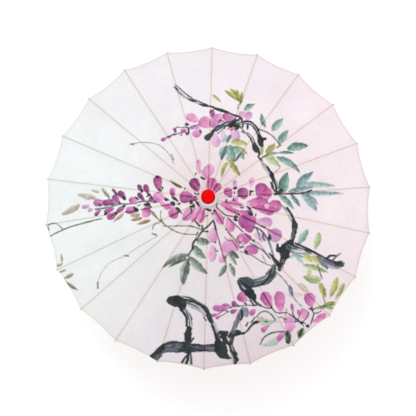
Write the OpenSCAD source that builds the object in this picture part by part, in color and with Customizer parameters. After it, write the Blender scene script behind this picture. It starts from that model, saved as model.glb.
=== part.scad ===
// Oil paper umbrella, open and upright: 22 bamboo ribs hinged on a top notch, 22 struts pinned in the ribs and
// hinged on a sliding runner, a painted sheet over the ribs, a straight shaft with a turned grip.
// Frame: +Z up along the shaft, origin at the bottom of the grip, rib 1 towards +Y, ribs counted clockwise from above.

/* [Canopy] */
// Number of ribs, struts and gores
rib_count = 22; // [22]
// Rib length from its hinge to its tip
rib_len = 420; // [400:5:440]
// Slope of an open rib below the horizontal, in degrees
rib_drop = 16.5; // [14:0.5:20]
// Thickness of the sheet
sheet_t = 0.6; // [0.4:0.1:1]
// How far a rib's tip stands past the sheet's rim
tip_past_rim = 3.5; // [2:0.5:6]
// How far the sheet hangs between two ribs at the rim
rim_sag = 3; // [1:0.5:5]
// How far the rim curves inwards between two ribs, past the straight chord
rim_inset = 3.5; // [1:0.5:6]

/* [Linkage] */
// Height of the ribs' hinge ring above the ground face of the grip
hinge_z = 520; // [500:5:560]
// Radius of the ribs' and the struts' hinge rings
hinge_r = 17; // [16.5:0.5:18]
// Distance from a rib's hinge to its strut's pin, which is also the strut's length between pins
link_len = 200; // [190:5:205]
// Angle between a closed rib and the shaft, in degrees
closed_angle = 3; // [3:0.5:5]

/* [Bamboo] */
// Width of a rib where its strut is pinned
rib_w = 4.4; // [4.2:0.1:5]
// Height of a rib's glued face above the line of its hinges
rib_top = 3.2; // [3:0.1:3.6]
// Depth of a rib below the line of its hinges, where its strut is pinned
rib_deep = 3.6; // [3.4:0.1:4]
// Thickness of the rib's and the strut's ends that sit in the slots
tongue_w = 2.6; // [2.4:0.1:2.7]
// Width of a strut where it folds into its rib
strut_w = 2; // [1.8:0.1:2.1]
// Radius of the round ends of ribs and struts
eye_r = 2; // [1.8:0.1:2.1]
// Radius of a rib pin
pin_r = 0.8; // [0.7:0.05:0.9]
// Radius of the two hinge threads
thread_r = 0.6; // [0.5:0.05:0.65]

/* [Shaft and hub] */
// Radius of the shaft
shaft_r = 7.5; // [7:0.5:8]
// Outer radius of the top notch and the runner's slotted flange
flange_r = 20.5; // [20:0.5:21.5]
// Width of the hinge slots in the notch and the runner
slot_w = 3; // [2.9:0.1:3.1]
// Radius of the white collar's lower edge
collar_r = 22.5; // [22.5:0.5:26]
// Radius of the red knob
knob_r = 18.2; // [16:0.1:20]
// Height of the red knob
knob_h = 19; // [16:1:24]

/* [Grip] */
// Length of the grip
grip_len = 84; // [80:1:86]
// Radius of the grip where it is held
grip_r = 13; // [11:0.5:14]

/* [Hidden] */
$fn = 48;
eps = 0.01;
// Running clearance on a pin or thread, and between the shaft and the runner
pin_gap = 0.08;
slide_gap = 0.25;
// Clear space kept between faces of pieces that move apart
gap = 0.3;
step = 360 / rib_count;
runner_z = hinge_z - 2 * link_len * sin(rib_drop);
slot_bottom_r = hinge_r - eye_r - 0.4;
// The sheet's lower face stands this high above the line of a rib's hinges, square to the rib
sheet_low = rib_top + gap;
// The sheet along a rib from its hinge, as rings from crown to rim with a rib line and a gore middle by turns
sheet_from = -3;
sheet_to = rib_len - tip_past_rim;
rings = [0, 0.25, 0.5, 0.75, 1];
around = 2 * rib_count;
// The strut enters its rib's slot here, towards the hub, and lies in it up to here when closed
open_reach = (rib_deep + eye_r / cos(2 * rib_drop)) / tan(2 * rib_drop) + 1;
closed_reach = (rib_deep + eye_r) / sin(2 * closed_angle) + 8;
slot_roof = eye_r + 0.4;
// Runner: its slotted flange, its sleeve and the catch below it
flange_up = 6;
flange_down = 6;
sleeve_len = 22;
sleeve_r = 12.5;
runner_foot = runner_z - flange_down - sleeve_len;
// Collar and knob heights above the hinge ring
collar_low = 3.5;
collar_top = 22;
knob_low = collar_top;
stop_r = 1.3;
stop_z = runner_z + flange_up + 0.8 + stop_r;
// Catch: a bent leaf that swings in a slot of the shaft on its own pin, with its shoulder under the runner
catch_len = 46;
catch_w = 3;
catch_t = 1.2;
catch_out = 5.4;
catch_eye_r = 2;
catch_pin_r = 1;
catch_pin_y = shaft_r - 3;
catch_pin_z = runner_foot - 0.6 - catch_len;
catch_slot_y = shaft_r - 6.6;

function two(k) = k < 10 ? str("0", k) : str(k);
function azimuth(k) = (k - 1) * step;

ribs = [for (k = [1:rib_count]) str("rib_", two(k))];
struts = [for (k = [1:rib_count]) str("strut_", two(k))];

// ---------- places ----------

// Rib k's own frame: X along the rib from its hinge, Z out of the glued face
module at_rib(k) {
    rotate([0, 0, 90 - azimuth(k)])
        translate([hinge_r, 0, hinge_z])
            rotate([0, rib_drop, 0])
                children();
}

// Strut k's own frame: X along the strut from the runner's thread to the rib's pin
module at_strut(k) {
    rotate([0, 0, 90 - azimuth(k)])
        translate([hinge_r, 0, runner_z])
            rotate([0, -rib_drop, 0])
                children();
}

// A cylinder across a rib or strut, centred on its hinge line
module cross_pin(x, r, w) {
    translate([x, 0, 0])
        rotate([90, 0, 0])
            cylinder(r = r, h = w, center = true);
}

// Stands an outline drawn as [along, up] on edge, w wide across Y
module on_edge(w) {
    rotate([90, 0, 0])
        linear_extrude(height = w, center = true)
            children();
}

// A turned piece from its half outline of [radius, height]
module turned(outline) {
    rotate_extrude($fn = 96)
        polygon(outline);
}

module slots(low, high) {
    for (k = [1:rib_count])
        rotate([0, 0, 90 - azimuth(k)])
            translate([slot_bottom_r, -slot_w / 2, low])
                cube([flange_r, slot_w, high - low]);
}

module thread_ring(z, r) {
    translate([0, 0, z])
        rotate_extrude($fn = 96)
            translate([hinge_r, 0])
                circle(r = r, $fn = 24);
}

// ---------- ribs and struts ----------

// Side outline: a tongue at the hinge, deepest around the strut's pin, thin at the tip
module rib_side() {
    polygon([
        [0, -eye_r], [12, -eye_r], [link_len - 60, -rib_deep], [link_len + closed_reach, -rib_deep],
        [rib_len - 6, -0.4], [rib_len, 0.6], [rib_len, rib_top - 0.6], [rib_len - 1.2, rib_top],
        [6, rib_top], [2.5, eye_r], [0, eye_r]
    ]);
}

// Plan outline: narrow at the hub so that closed ribs clear each other, full width at the strut's pin
module rib_plan() {
    half = [
        [-eye_r, tongue_w / 2], [7, tongue_w / 2], [9, 1.8], [60, 2], [link_len - 40, rib_w / 2],
        [link_len + closed_reach + 10, rib_w / 2], [rib_len, 1.5]
    ];
    polygon(concat(half, [for (i = [len(half) - 1:-1:0]) [half[i].x, -half[i].y]]));
}

module rib(k) {
    color("burlywood")
        at_rib(k) {
            difference() {
                intersection() {
                    union() {
                        on_edge(rib_w + 1) rib_side();
                        cross_pin(0, eye_r, tongue_w);
                    }
                    translate([0, 0, -rib_deep - 1])
                        linear_extrude(height = rib_deep + rib_top + 2)
                            rib_plan();
                }
                cross_pin(0, thread_r + pin_gap + 0.12, rib_w);
                translate([link_len - open_reach, -strut_w / 2 - gap, -rib_deep - 1])
                    cube([open_reach + closed_reach, strut_w + 2 * gap, rib_deep + 1 + slot_roof]);
            }
            cross_pin(link_len, pin_r, strut_w + 2 * gap + 0.8);
        }
}

module strut(k) {
    narrow_from = link_len - closed_reach - 4;
    color("tan")
        at_strut(k)
            difference() {
                union() {
                    translate([0, -tongue_w / 2, -eye_r])
                        cube([narrow_from, tongue_w, 2 * eye_r]);
                    translate([narrow_from - eps, -strut_w / 2, -eye_r])
                        cube([link_len - narrow_from + eps, strut_w, 2 * eye_r]);
                    cross_pin(0, eye_r, tongue_w);
                    cross_pin(link_len, eye_r, strut_w);
                }
                cross_pin(0, thread_r + pin_gap + 0.12, rib_w);
                cross_pin(link_len, pin_r + pin_gap, rib_w);
            }
}

// ---------- sheet ----------

// A point on the sheet: part-way t from crown to rim, j counts rib lines (even) and gore middles (odd)
function sheet_point(t, j, lift) =
    let (
        along = sheet_from + t * (sheet_to - sheet_from),
        out = hinge_r + along * cos(rib_drop) + sheet_low * sin(rib_drop),
        up = hinge_z - along * sin(rib_drop) + sheet_low * cos(rib_drop) + lift,
        middle = j % 2,
        reach = middle ? out * cos(step / 2) - rim_inset * pow(t, 3) : out,
        turn = 90 - j * step / 2
    )
    [reach * cos(turn), reach * sin(turn), up - middle * rim_sag * t];

module canopy() {
    n = len(rings);
    layer = n * around;
    points = [
        for (lift = [0, sheet_t / cos(rib_drop)]) for (t = rings) for (j = [0:around - 1]) sheet_point(t, j, lift)
    ];
    faces = [
        for (i = [0:n - 2]) for (j = [0:around - 1])
            let (a = i * around + j, b = i * around + (j + 1) % around, c = b + around, d = a + around)
            each [[a, b, c], [a, c, d], [layer + a, layer + c, layer + b], [layer + a, layer + d, layer + c]],
        for (j = [0:around - 1])
            let (a = j, b = (j + 1) % around, e = (n - 1) * around)
            each [
                [a, layer + a, layer + b], [a, layer + b, b],
                [e + a, e + b, layer + e + b], [e + a, layer + e + b, layer + e + a]
            ]
    ];
    color("lavenderblush")
        polyhedron(points, faces, convexity = 6);
}

// ---------- hub ----------

module top_notch() {
    color("wheat")
        translate([0, 0, hinge_z])
            difference() {
                turned([
                    [shaft_r, -24], [shaft_r + 2, -24], [shaft_r + 3.5, -20], [slot_bottom_r - 0.4, -9],
                    [slot_bottom_r, -5.5], [flange_r - 1, -5.5], [flange_r, -4.5], [flange_r, 1.2],
                    [flange_r - 0.7, 1.9], [slot_bottom_r, 3.2], [11, 3.6], [11, 13], [shaft_r, 13]
                ]);
                slots(-12, slot_roof);
                thread_ring(0, thread_r + pin_gap);
            }
}

module notch_thread() {
    color("ivory") thread_ring(hinge_z, thread_r);
}

module cap_collar() {
    color("white")
        translate([0, 0, hinge_z])
            turned([
                [collar_r - 1.4, collar_low], [collar_r - 0.3, collar_low], [collar_r, collar_low + 0.5],
                [collar_r - 0.2, collar_low + 1.4], [collar_r - 0.6, collar_low + 4.4], [knob_r + 1.2, collar_top - 3],
                [knob_r + 0.4, collar_top - 0.6], [knob_r - 0.4, collar_top], [shaft_r, collar_top],
                [shaft_r, collar_top - 1.6], [knob_r - 2.4, collar_top - 1.8], [knob_r - 1.2, collar_top - 3.6],
                [collar_r - 2, collar_low + 3.6]
            ]);
}

module red_knob() {
    edge = 4;
    color("red")
        translate([0, 0, hinge_z + knob_low])
            difference() {
                union() {
                    cylinder(r1 = knob_r - 1.2, r2 = knob_r, h = 2, $fn = 96);
                    translate([0, 0, 2])
                        cylinder(r = knob_r, h = knob_h - edge - 5, $fn = 96);
                    translate([0, 0, knob_h - edge - 3])
                        rotate_extrude($fn = 96) {
                            square([knob_r - edge, edge + 1.5]);
                            intersection() {
                                translate([knob_r - edge, 0]) circle(r = edge);
                                translate([knob_r - edge, 0]) square(edge);
                            }
                        }
                    translate([0, 0, knob_h - 3])
                        cylinder(r1 = knob_r - edge, r2 = 6, h = 3, $fn = 96);
                }
                translate([0, 0, -eps])
                    cylinder(r = shaft_r, h = 10 + eps);
            }
}

// ---------- shaft, stop and catch ----------

module catch_slot() {
    translate([-catch_w / 2 - gap, catch_slot_y, catch_pin_z - catch_eye_r - 1])
        cube([catch_w + 2 * gap, shaft_r, catch_len + catch_eye_r + 3]);
}

// A rod along X through the shaft
module rod(y, z, r, w) {
    translate([0, y, z])
        rotate([0, 90, 0])
            cylinder(r = r, h = w, center = true);
}

module shaft() {
    foot = 8;
    color("peru")
        difference() {
            translate([0, 0, foot])
                cylinder(r = shaft_r, h = hinge_z + knob_low + 10 - foot, $fn = 96);
            catch_slot();
            rod(catch_pin_y, catch_pin_z, catch_pin_r, 2 * shaft_r);
            rod(0, stop_z, stop_r, 4 * shaft_r);
        }
}

module stop_pin() {
    color("darkgoldenrod") rod(0, stop_z, stop_r, 2 * shaft_r + 6);
}

module catch_pin() {
    color("silver") rod(catch_pin_y, catch_pin_z, catch_pin_r, shaft_r);
}

// A bent leaf, drawn as [out of the shaft, up]: it leans outwards and turns back in over a flat shoulder
module catch_spring() {
    color("silver")
        translate([0, catch_pin_y, catch_pin_z])
            difference() {
                union() {
                    rotate([90, 0, 90])
                        translate([0, 0, -catch_w / 2])
                            linear_extrude(height = catch_w)
                                polygon([
                                    [-catch_t / 2, 0], [catch_t / 2, 0], [catch_t / 2 + 0.4, 4],
                                    [catch_out, catch_len - 5], [catch_out, catch_len], [0.6, catch_len],
                                    [0.6, catch_len - catch_t], [catch_out - catch_t, catch_len - catch_t],
                                    [catch_out - catch_t, catch_len - 5], [-catch_t / 2 + 0.3, 4.2]
                                ]);
                    rod(0, 0, catch_eye_r, catch_w);
                }
                rod(0, 0, catch_pin_r + pin_gap, catch_w + 1);
            }
}

// ---------- runner ----------

module runner() {
    color("wheat")
        translate([0, 0, runner_z])
            difference() {
                turned([
                    [shaft_r + slide_gap, flange_up], [slot_bottom_r, flange_up], [flange_r - 1, flange_up - 0.6],
                    [flange_r, flange_up - 1.8], [flange_r, -flange_down + 1.5], [flange_r - 1.5, -flange_down],
                    [sleeve_r + 2, -flange_down - 1.5], [sleeve_r, -flange_down - 5],
                    [sleeve_r, -flange_down - sleeve_len + 4], [sleeve_r + 1.2, -flange_down - sleeve_len + 2.5],
                    [sleeve_r + 1.2, -flange_down - sleeve_len + 0.8], [sleeve_r + 0.4, -flange_down - sleeve_len],
                    [shaft_r + slide_gap, -flange_down - sleeve_len]
                ]);
                slots(-slot_roof, flange_up + 1);
                thread_ring(0, thread_r + pin_gap);
            }
}

module runner_thread() {
    color("ivory") thread_ring(runner_z, thread_r);
}

// ---------- grip ----------

module grip() {
    ring_z = grip_len - 8;
    color("sienna")
        turned([
            [0, 6], [grip_r - 2, 6], [grip_r - 0.6, 7], [grip_r, 9], [grip_r, ring_z - 9], [grip_r - 1, ring_z - 4],
            [grip_r - 2.5, ring_z], [grip_r - 2.5, grip_len - 3], [shaft_r + 1.5, grip_len], [shaft_r, grip_len],
            [shaft_r, 8], [0, 8]
        ]);
}

module grip_ring() {
    ring_z = grip_len - 8;
    color("gold")
        turned([
            [grip_r - 2.5, ring_z], [grip_r - 0.8, ring_z], [grip_r - 0.3, ring_z + 0.6],
            [grip_r - 0.3, ring_z + 3.4], [grip_r - 0.8, ring_z + 4], [grip_r - 2.5, ring_z + 4]
        ]);
}

module end_cap() {
    color("firebrick")
        turned([[0, 0], [grip_r - 2.4, 0], [grip_r - 1, 1.2], [grip_r - 0.4, 3], [grip_r - 1, 5], [grip_r - 2, 6], [0, 6]]);
}

// ---------- what is drawn ----------

canopy();
cap_collar();
red_knob();
top_notch();
notch_thread();
shaft();
stop_pin();
catch_pin();
catch_spring();
runner();
runner_thread();
grip();
grip_ring();
end_cap();
for (k = [1:rib_count]) {
    rib(k);
    strut(k);
}
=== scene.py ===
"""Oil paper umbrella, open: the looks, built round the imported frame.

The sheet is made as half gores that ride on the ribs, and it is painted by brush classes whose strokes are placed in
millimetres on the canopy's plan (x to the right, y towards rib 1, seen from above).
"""

from __future__ import annotations

import logging
import math
from dataclasses import dataclass, field
from enum import Enum
from typing import Iterable, Sequence

import bmesh
import bpy
import numpy as np
from mathutils import Matrix, Vector

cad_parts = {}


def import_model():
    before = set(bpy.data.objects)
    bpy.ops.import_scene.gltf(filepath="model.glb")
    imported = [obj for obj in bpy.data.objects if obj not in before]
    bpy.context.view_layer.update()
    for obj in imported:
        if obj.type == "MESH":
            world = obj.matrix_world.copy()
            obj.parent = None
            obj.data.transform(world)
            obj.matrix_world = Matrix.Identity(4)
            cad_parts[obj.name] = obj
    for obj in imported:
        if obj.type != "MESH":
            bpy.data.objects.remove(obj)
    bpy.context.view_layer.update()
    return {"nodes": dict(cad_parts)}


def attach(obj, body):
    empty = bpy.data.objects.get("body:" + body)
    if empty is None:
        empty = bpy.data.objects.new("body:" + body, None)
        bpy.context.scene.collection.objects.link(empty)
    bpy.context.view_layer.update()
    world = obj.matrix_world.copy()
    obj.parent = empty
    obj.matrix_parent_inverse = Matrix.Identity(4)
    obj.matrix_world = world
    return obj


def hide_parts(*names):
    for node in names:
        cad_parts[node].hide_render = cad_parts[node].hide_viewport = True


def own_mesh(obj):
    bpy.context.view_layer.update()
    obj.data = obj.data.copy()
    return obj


LOG = logging.getLogger("umbrella")
MM = 0.001
Point = tuple[float, float]
Place = tuple[float, float, float]
Row = tuple[float, ...]
Colour = tuple[float, float, float]
Socket = bpy.types.NodeSocket
Material = bpy.types.Material


# ---------------------------------------------------------------- colour


def linear(colour: Sequence[float] | np.ndarray) -> np.ndarray:
    """Turns display colours from 0 to 255 into scene-linear ones.

    Args:
        colour: one colour, or an array of them.

    Returns:
        The same shape, from 0 to 1.
    """
    c = np.asarray(colour, dtype=float) / 255.0
    return np.where(c <= 0.04045, c / 12.92, ((c + 0.055) / 1.055) ** 2.4)


def ramp(low: float, high: float, value: np.ndarray) -> np.ndarray:
    """A smooth step from 0 at low to 1 at high."""
    t = np.clip((value - low) / (high - low), 0.0, 1.0)
    return t * t * (3.0 - 2.0 * t)


class Mottle:
    """Smooth seeded noise over the plan, from 0 to 1."""

    SIDE = 128

    def __init__(self, seed: int) -> None:
        """Draws the table of values.

        Args:
            seed: the draw's seed.
        """
        self.table = np.random.default_rng(seed).random((self.SIDE, self.SIDE))

    def at(self, u: np.ndarray, v: np.ndarray) -> np.ndarray:
        """The noise at places, with one feature per unit.

        Args:
            u: places along.
            v: places across.

        Returns:
            One value for each place.
        """
        iu, iv = np.floor(u).astype(int), np.floor(v).astype(int)
        fu, fv = u - iu, v - iv
        fu, fv = fu * fu * (3 - 2 * fu), fv * fv * (3 - 2 * fv)
        a, b = iu % self.SIDE, (iu + 1) % self.SIDE
        c, d = iv % self.SIDE, (iv + 1) % self.SIDE
        low = self.table[a, c] * (1 - fu) + self.table[b, c] * fu
        high = self.table[a, d] * (1 - fu) + self.table[b, d] * fu
        return low * (1 - fv) + high * fv


MOTTLE = Mottle(7)


def ragged(x: np.ndarray, y: np.ndarray, size: float, fray: float = 1.7) -> np.ndarray:
    """How far a brush mark's edge strays outwards at plan places.

    Args:
        x: plan places to the right, in millimetres.
        y: plan places towards rib 1.
        size: the mark's width.
        fray: how far a dry brush frays, against a wet one's smooth edge.

    Returns:
        Millimetres outwards.
    """
    broad = MOTTLE.at(x / 6.5 + 11, y / 6.5 + 3) - 0.5
    fine = MOTTLE.at(x / 2.3 + 57, y / 2.3 + 29) - 0.5
    return (2.6 * broad + fray * fine) * min(1.0, 0.25 + size / 22.0)


class Tone(Enum):
    """Pigments as (pale, full, dark) display colours."""

    INK = ((96, 106, 116), (34, 50, 50), (14, 28, 26))
    SLATE = ((140, 148, 162), (92, 102, 118), (48, 58, 66))
    VINE = ((176, 174, 160), (120, 122, 106), (70, 72, 58))
    TEAL = ((170, 202, 194), (112, 156, 142), (48, 90, 78))
    SAGE = ((182, 198, 184), (112, 132, 114), (44, 62, 52))
    MIST = ((206, 222, 222), (142, 176, 176), (82, 118, 122))
    OLIVE = ((206, 210, 140), (164, 170, 84), (104, 106, 30))
    LEAF = ((200, 214, 164), (150, 176, 112), (92, 128, 70))
    TAN = ((216, 204, 190), (184, 166, 146), (132, 108, 82))
    BROWN = ((190, 156, 120), (150, 108, 70), (96, 62, 34))
    DEEP = ((230, 138, 192), (188, 84, 150), (116, 34, 94))
    ROSE = ((242, 178, 212), (222, 124, 180), (174, 56, 124))
    BLUSH = ((244, 206, 228), (230, 168, 206), (206, 120, 172))
    LILAC = ((242, 216, 232), (232, 188, 218), (204, 140, 186))


class Paint:
    """Colour at points of the sheet, seen in plan, which brushes lay pigment on."""

    def __init__(self, x: np.ndarray, y: np.ndarray, ground: np.ndarray) -> None:
        """Starts from the bare ground.

        Args:
            x: plan places to the right, in millimetres.
            y: plan places towards rib 1, in millimetres.
            ground: display colours, one row for each place.
        """
        self.x, self.y, self.colour = x, y, ground.copy()

    def near(self, points: np.ndarray, margin: float) -> np.ndarray:
        """Finds the places in a box round points.

        Args:
            points: the points, one a row.
            margin: how much wider the box is, each way.

        Returns:
            The places' indices.
        """
        low, high = points.min(0) - margin, points.max(0) + margin
        inside = (self.x > low[0]) & (self.x < high[0]) & (self.y > low[1]) & (self.y < high[1])
        return np.flatnonzero(inside)

    def lay(self, where: np.ndarray, cover: np.ndarray, pigment: np.ndarray) -> None:
        """Lays pigment over the places, as much as cover says.

        Args:
            where: indices of the places.
            cover: from 0, bare, to 1, hidden.
            pigment: display colours, one row for each place, or one colour.
        """
        self.colour[where] += (np.asarray(pigment, dtype=float) - self.colour[where]) * cover[:, None]


def shade(tone: Tone, depth: np.ndarray) -> np.ndarray:
    """A tone's colour, from pale at 0 through full at a half to dark at 1.

    Args:
        tone: the pigment.
        depth: how deep it is at each place.

    Returns:
        One row of display colour for each place.
    """
    pale, full, dark = (np.array(c, dtype=float) for c in tone.value)
    depth = np.clip(depth, 0.0, 1.0)[:, None]
    low = pale + (full - pale) * np.minimum(depth * 2, 1)
    return low + (dark - full) * np.maximum(depth * 2 - 1, 0)


# ---------------------------------------------------------------- brushes


@dataclass(frozen=True)
class Stroke:
    """A brush line through points of (x, y, width), all in millimetres."""

    points: tuple[tuple[float, float, float], ...]
    tone: Tone = Tone.INK
    depth: float = 0.8
    load: float = 0.92
    dry: float = 0.0

    STEP = 2.5
    OPEN_COVER = 0.72
    OPEN_DEPTH = 0.45

    def path(self) -> np.ndarray:
        """The smooth line through the points, as rows of x, y and width."""
        p = np.array(self.points, dtype=float)
        if len(p) == 2:
            return p
        ends = np.vstack([2 * p[0] - p[1], p, 2 * p[-1] - p[-2]])
        rows = []
        for a, b, c, d in zip(ends, ends[1:], ends[2:], ends[3:]):
            count = max(2, int(np.hypot(*(c - b)[:2]) / self.STEP))
            t = np.linspace(0, 1, count, endpoint=False)[:, None]
            rows.append(
                0.5 * (2 * b + (c - a) * t + (2 * a - 5 * b + 4 * c - d) * t**2 + (3 * b - a - 3 * c + d) * t**3)
            )
        rows.append(p[-1:])
        return np.vstack(rows)

    def draw(self, paint: Paint) -> None:
        """Lays the line on the sheet.

        Args:
            paint: the sheet's colours.
        """
        path = self.path()
        where = paint.near(path[:, :2], path[:, 2].max() / 2 + 2)
        if not len(where):
            return
        a, b = path[:-1], path[1:]
        side = b[:, :2] - a[:, :2]
        length = np.maximum(np.hypot(*side.T), 1e-6)
        run = np.concatenate([[0], np.cumsum(length)[:-1]])
        px = paint.x[where, None] - a[None, :, 0]
        py = paint.y[where, None] - a[None, :, 1]
        t = np.clip((px * side[:, 0] + py * side[:, 1]) / length**2, 0, 1)
        gap = np.hypot(px - t * side[:, 0], py - t * side[:, 1])
        half = (a[:, 2] + (b[:, 2] - a[:, 2]) * t) / 2
        pick = np.argmin(gap - half, axis=1)
        row = np.arange(len(where))
        gap, half, t = gap[row, pick], half[row, pick], t[row, pick]
        along = run[pick] + t * length[pick]
        across = (side[pick, 0] * py[row, pick] - side[pick, 1] * px[row, pick]) / length[pick]
        half = half + ragged(paint.x[where], paint.y[where], path[:, 2].max())
        cover = ramp(-1.1, 0.8, half - gap) * self.load
        streak = MOTTLE.at(across / 1.9 + self.points[0][1], along / 30 + self.points[0][0])
        depth = self.depth + 0.5 * (MOTTLE.at(paint.x[where] / 7, paint.y[where] / 7) - 0.5)
        if self.dry:
            open_streak = ramp(1 - self.dry - 0.12, 1 - self.dry + 0.12, streak)
            depth = depth - self.OPEN_DEPTH * open_streak
            cover = cover * (1 - self.OPEN_COVER * open_streak)
        paint.lay(where, cover, shade(self.tone, depth))


@dataclass(frozen=True)
class Shape:
    """A brush mark from its base to its tip, width across, bent sideways by bend. Sizes in millimetres."""

    base: Point
    tip: Point
    width: float
    tone: Tone
    depth: float = 0.5
    bend: float = 0.0
    load: float = 0.9
    soft: float = 1.5

    def place(self, paint: Paint) -> tuple[np.ndarray, np.ndarray, np.ndarray]:
        """The places near the mark.

        Args:
            paint: the sheet's colours.

        Returns:
            Their indices, how far along the mark each is from 0 to 1, and how far across in millimetres.
        """
        base, tip = np.array(self.base, float), np.array(self.tip, float)
        where = paint.near(np.array([base, tip]), self.width / 2 + abs(self.bend) + 2)
        run = tip - base
        length = np.hypot(*run)
        px, py = paint.x[where] - base[0], paint.y[where] - base[1]
        t = (px * run[0] + py * run[1]) / length**2
        across = (run[0] * py - run[1] * px) / length
        return where, t, across - 4 * self.bend * np.clip(t, 0, 1) * (1 - np.clip(t, 0, 1))

    def half_width(self, t: np.ndarray) -> np.ndarray:
        """Half the mark's width at t from base to tip."""
        raise NotImplementedError

    def cover(self, paint: Paint, where: np.ndarray, t: np.ndarray, across: np.ndarray) -> np.ndarray:
        """How much the mark hides at each place, with a soft and ragged edge.

        Args:
            paint: the sheet's colours.
            where: indices of the places.
            t: how far along the mark each is.
            across: how far across, in millimetres.

        Returns:
            From 0 to 1 for each place.
        """
        inside = self.half_width(t) - np.abs(across)
        stray = np.where(inside > -2, ragged(paint.x[where], paint.y[where], self.width, 0.3), 0)
        return ramp(-self.soft, self.soft, inside + stray)


@dataclass(frozen=True)
class Leaf(Shape):
    """A leaf: pointed at both ends, darker on one side, with a vein."""

    vein: float = 0.3

    EXTRAS = ("bend", "vein", "soft")

    def half_width(self, t: np.ndarray) -> np.ndarray:
        """Half the leaf's width, widest before the middle.

        Args:
            t: places from its base at 0 to its tip at 1.

        Returns:
            Millimetres, and less than nothing past its ends.
        """
        inside = (t > 0) & (t < 1)
        profile = np.sin(np.pi * np.clip(t, 0, 1) ** 0.8) ** 0.85
        return np.where(inside, self.width / 2 * profile, -4.0)

    def draw(self, paint: Paint) -> None:
        """Lays the leaf on the sheet.

        Args:
            paint: the sheet's colours.
        """
        where, t, across = self.place(paint)
        cover = self.cover(paint, where, t, across)
        lean = across / (self.width / 2)
        cloud = MOTTLE.at(paint.x[where] / 5, paint.y[where] / 5) - 0.5
        wet = MOTTLE.at(paint.x[where] / 12 + 70, paint.y[where] / 12) - 0.5
        depth = self.depth + 0.42 * lean + 0.5 * cloud - 0.2 * np.sin(np.pi * np.clip(t, 0, 1)) + 0.15 * t
        paint.lay(where, cover * (self.load - 0.35 * np.clip(wet, 0, 1)), shade(self.tone, depth))
        vein = ramp(-0.9, 0.9, 0.4 - np.abs(across)) * cover * ramp(0.0, 0.1, t) * ramp(1.0, 0.7, t)
        paint.lay(where, vein * self.vein, shade(self.tone, np.full(len(where), 1.0)))


@dataclass(frozen=True)
class Petal(Shape):
    """A petal: narrow at its base, round at its tip, with fine veins and a pooled edge."""

    veins: float = 0.35
    turn: float = 0.35

    EXTRAS = ("veins", "turn")
    COOL = np.array((0.92, 0.95, 1.03))
    FOLDS = (-0.4, 0.12, 0.55)

    def half_width(self, t: np.ndarray) -> np.ndarray:
        """Half the petal's width, widest near its round tip.

        Args:
            t: places from its base at 0 to its tip at 1.

        Returns:
            Millimetres, and less than nothing past its ends.
        """
        wide = 0.62
        neck = (0.28 + 0.72 * np.sin(np.pi / 2 * np.clip(t / wide, 0, 1))) * ramp(-0.04, 0.05, t)
        dome = np.sqrt(np.clip(1 - (np.maximum(t - wide, 0) / (1 - wide)) ** 2, 0, 1))
        inside = (t > -0.04) & (t < 1)
        return np.where(inside, self.width / 2 * neck * dome, -4.0)

    def draw(self, paint: Paint) -> None:
        """Lays the petal on the sheet.

        Args:
            paint: the sheet's colours.
        """
        where, t, across = self.place(paint)
        cover = self.cover(paint, where, t, across)
        half = np.maximum(self.half_width(t), 0.5)
        x, y = paint.x[where], paint.y[where]
        cloud = 0.6 * MOTTLE.at(x / 9 + 30, y / 9) + 0.4 * MOTTLE.at(x / 3.5, y / 3.5 + 60) - 0.5
        lean = across / (self.width / 2)
        edge = ramp(0.5, 1.0, np.abs(across) / half)
        depth = self.depth + self.turn * (t - 0.45) + 0.2 * lean + 0.6 * cloud + 0.1 * edge
        violet = np.clip(0.25 + 0.5 * lean + 1.6 * (MOTTLE.at(x / 13 + 5, y / 13 + 90) - 0.5), 0, 1)[:, None]
        pigment = shade(self.tone, depth)
        pigment += violet * (pigment * self.COOL - pigment)
        paint.lay(where, cover * self.load, pigment)
        fan = across / half
        for place in self.FOLDS:
            soft = ramp(0.22, 0.0, np.abs(fan - place)) * ramp(0.1, 0.3, t) * ramp(0.98, 0.7, t)
            paint.lay(where, soft * cover * self.veins * 0.45, shade(self.tone, depth + 0.4))


# ---------------------------------------------------------------- the painting


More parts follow.
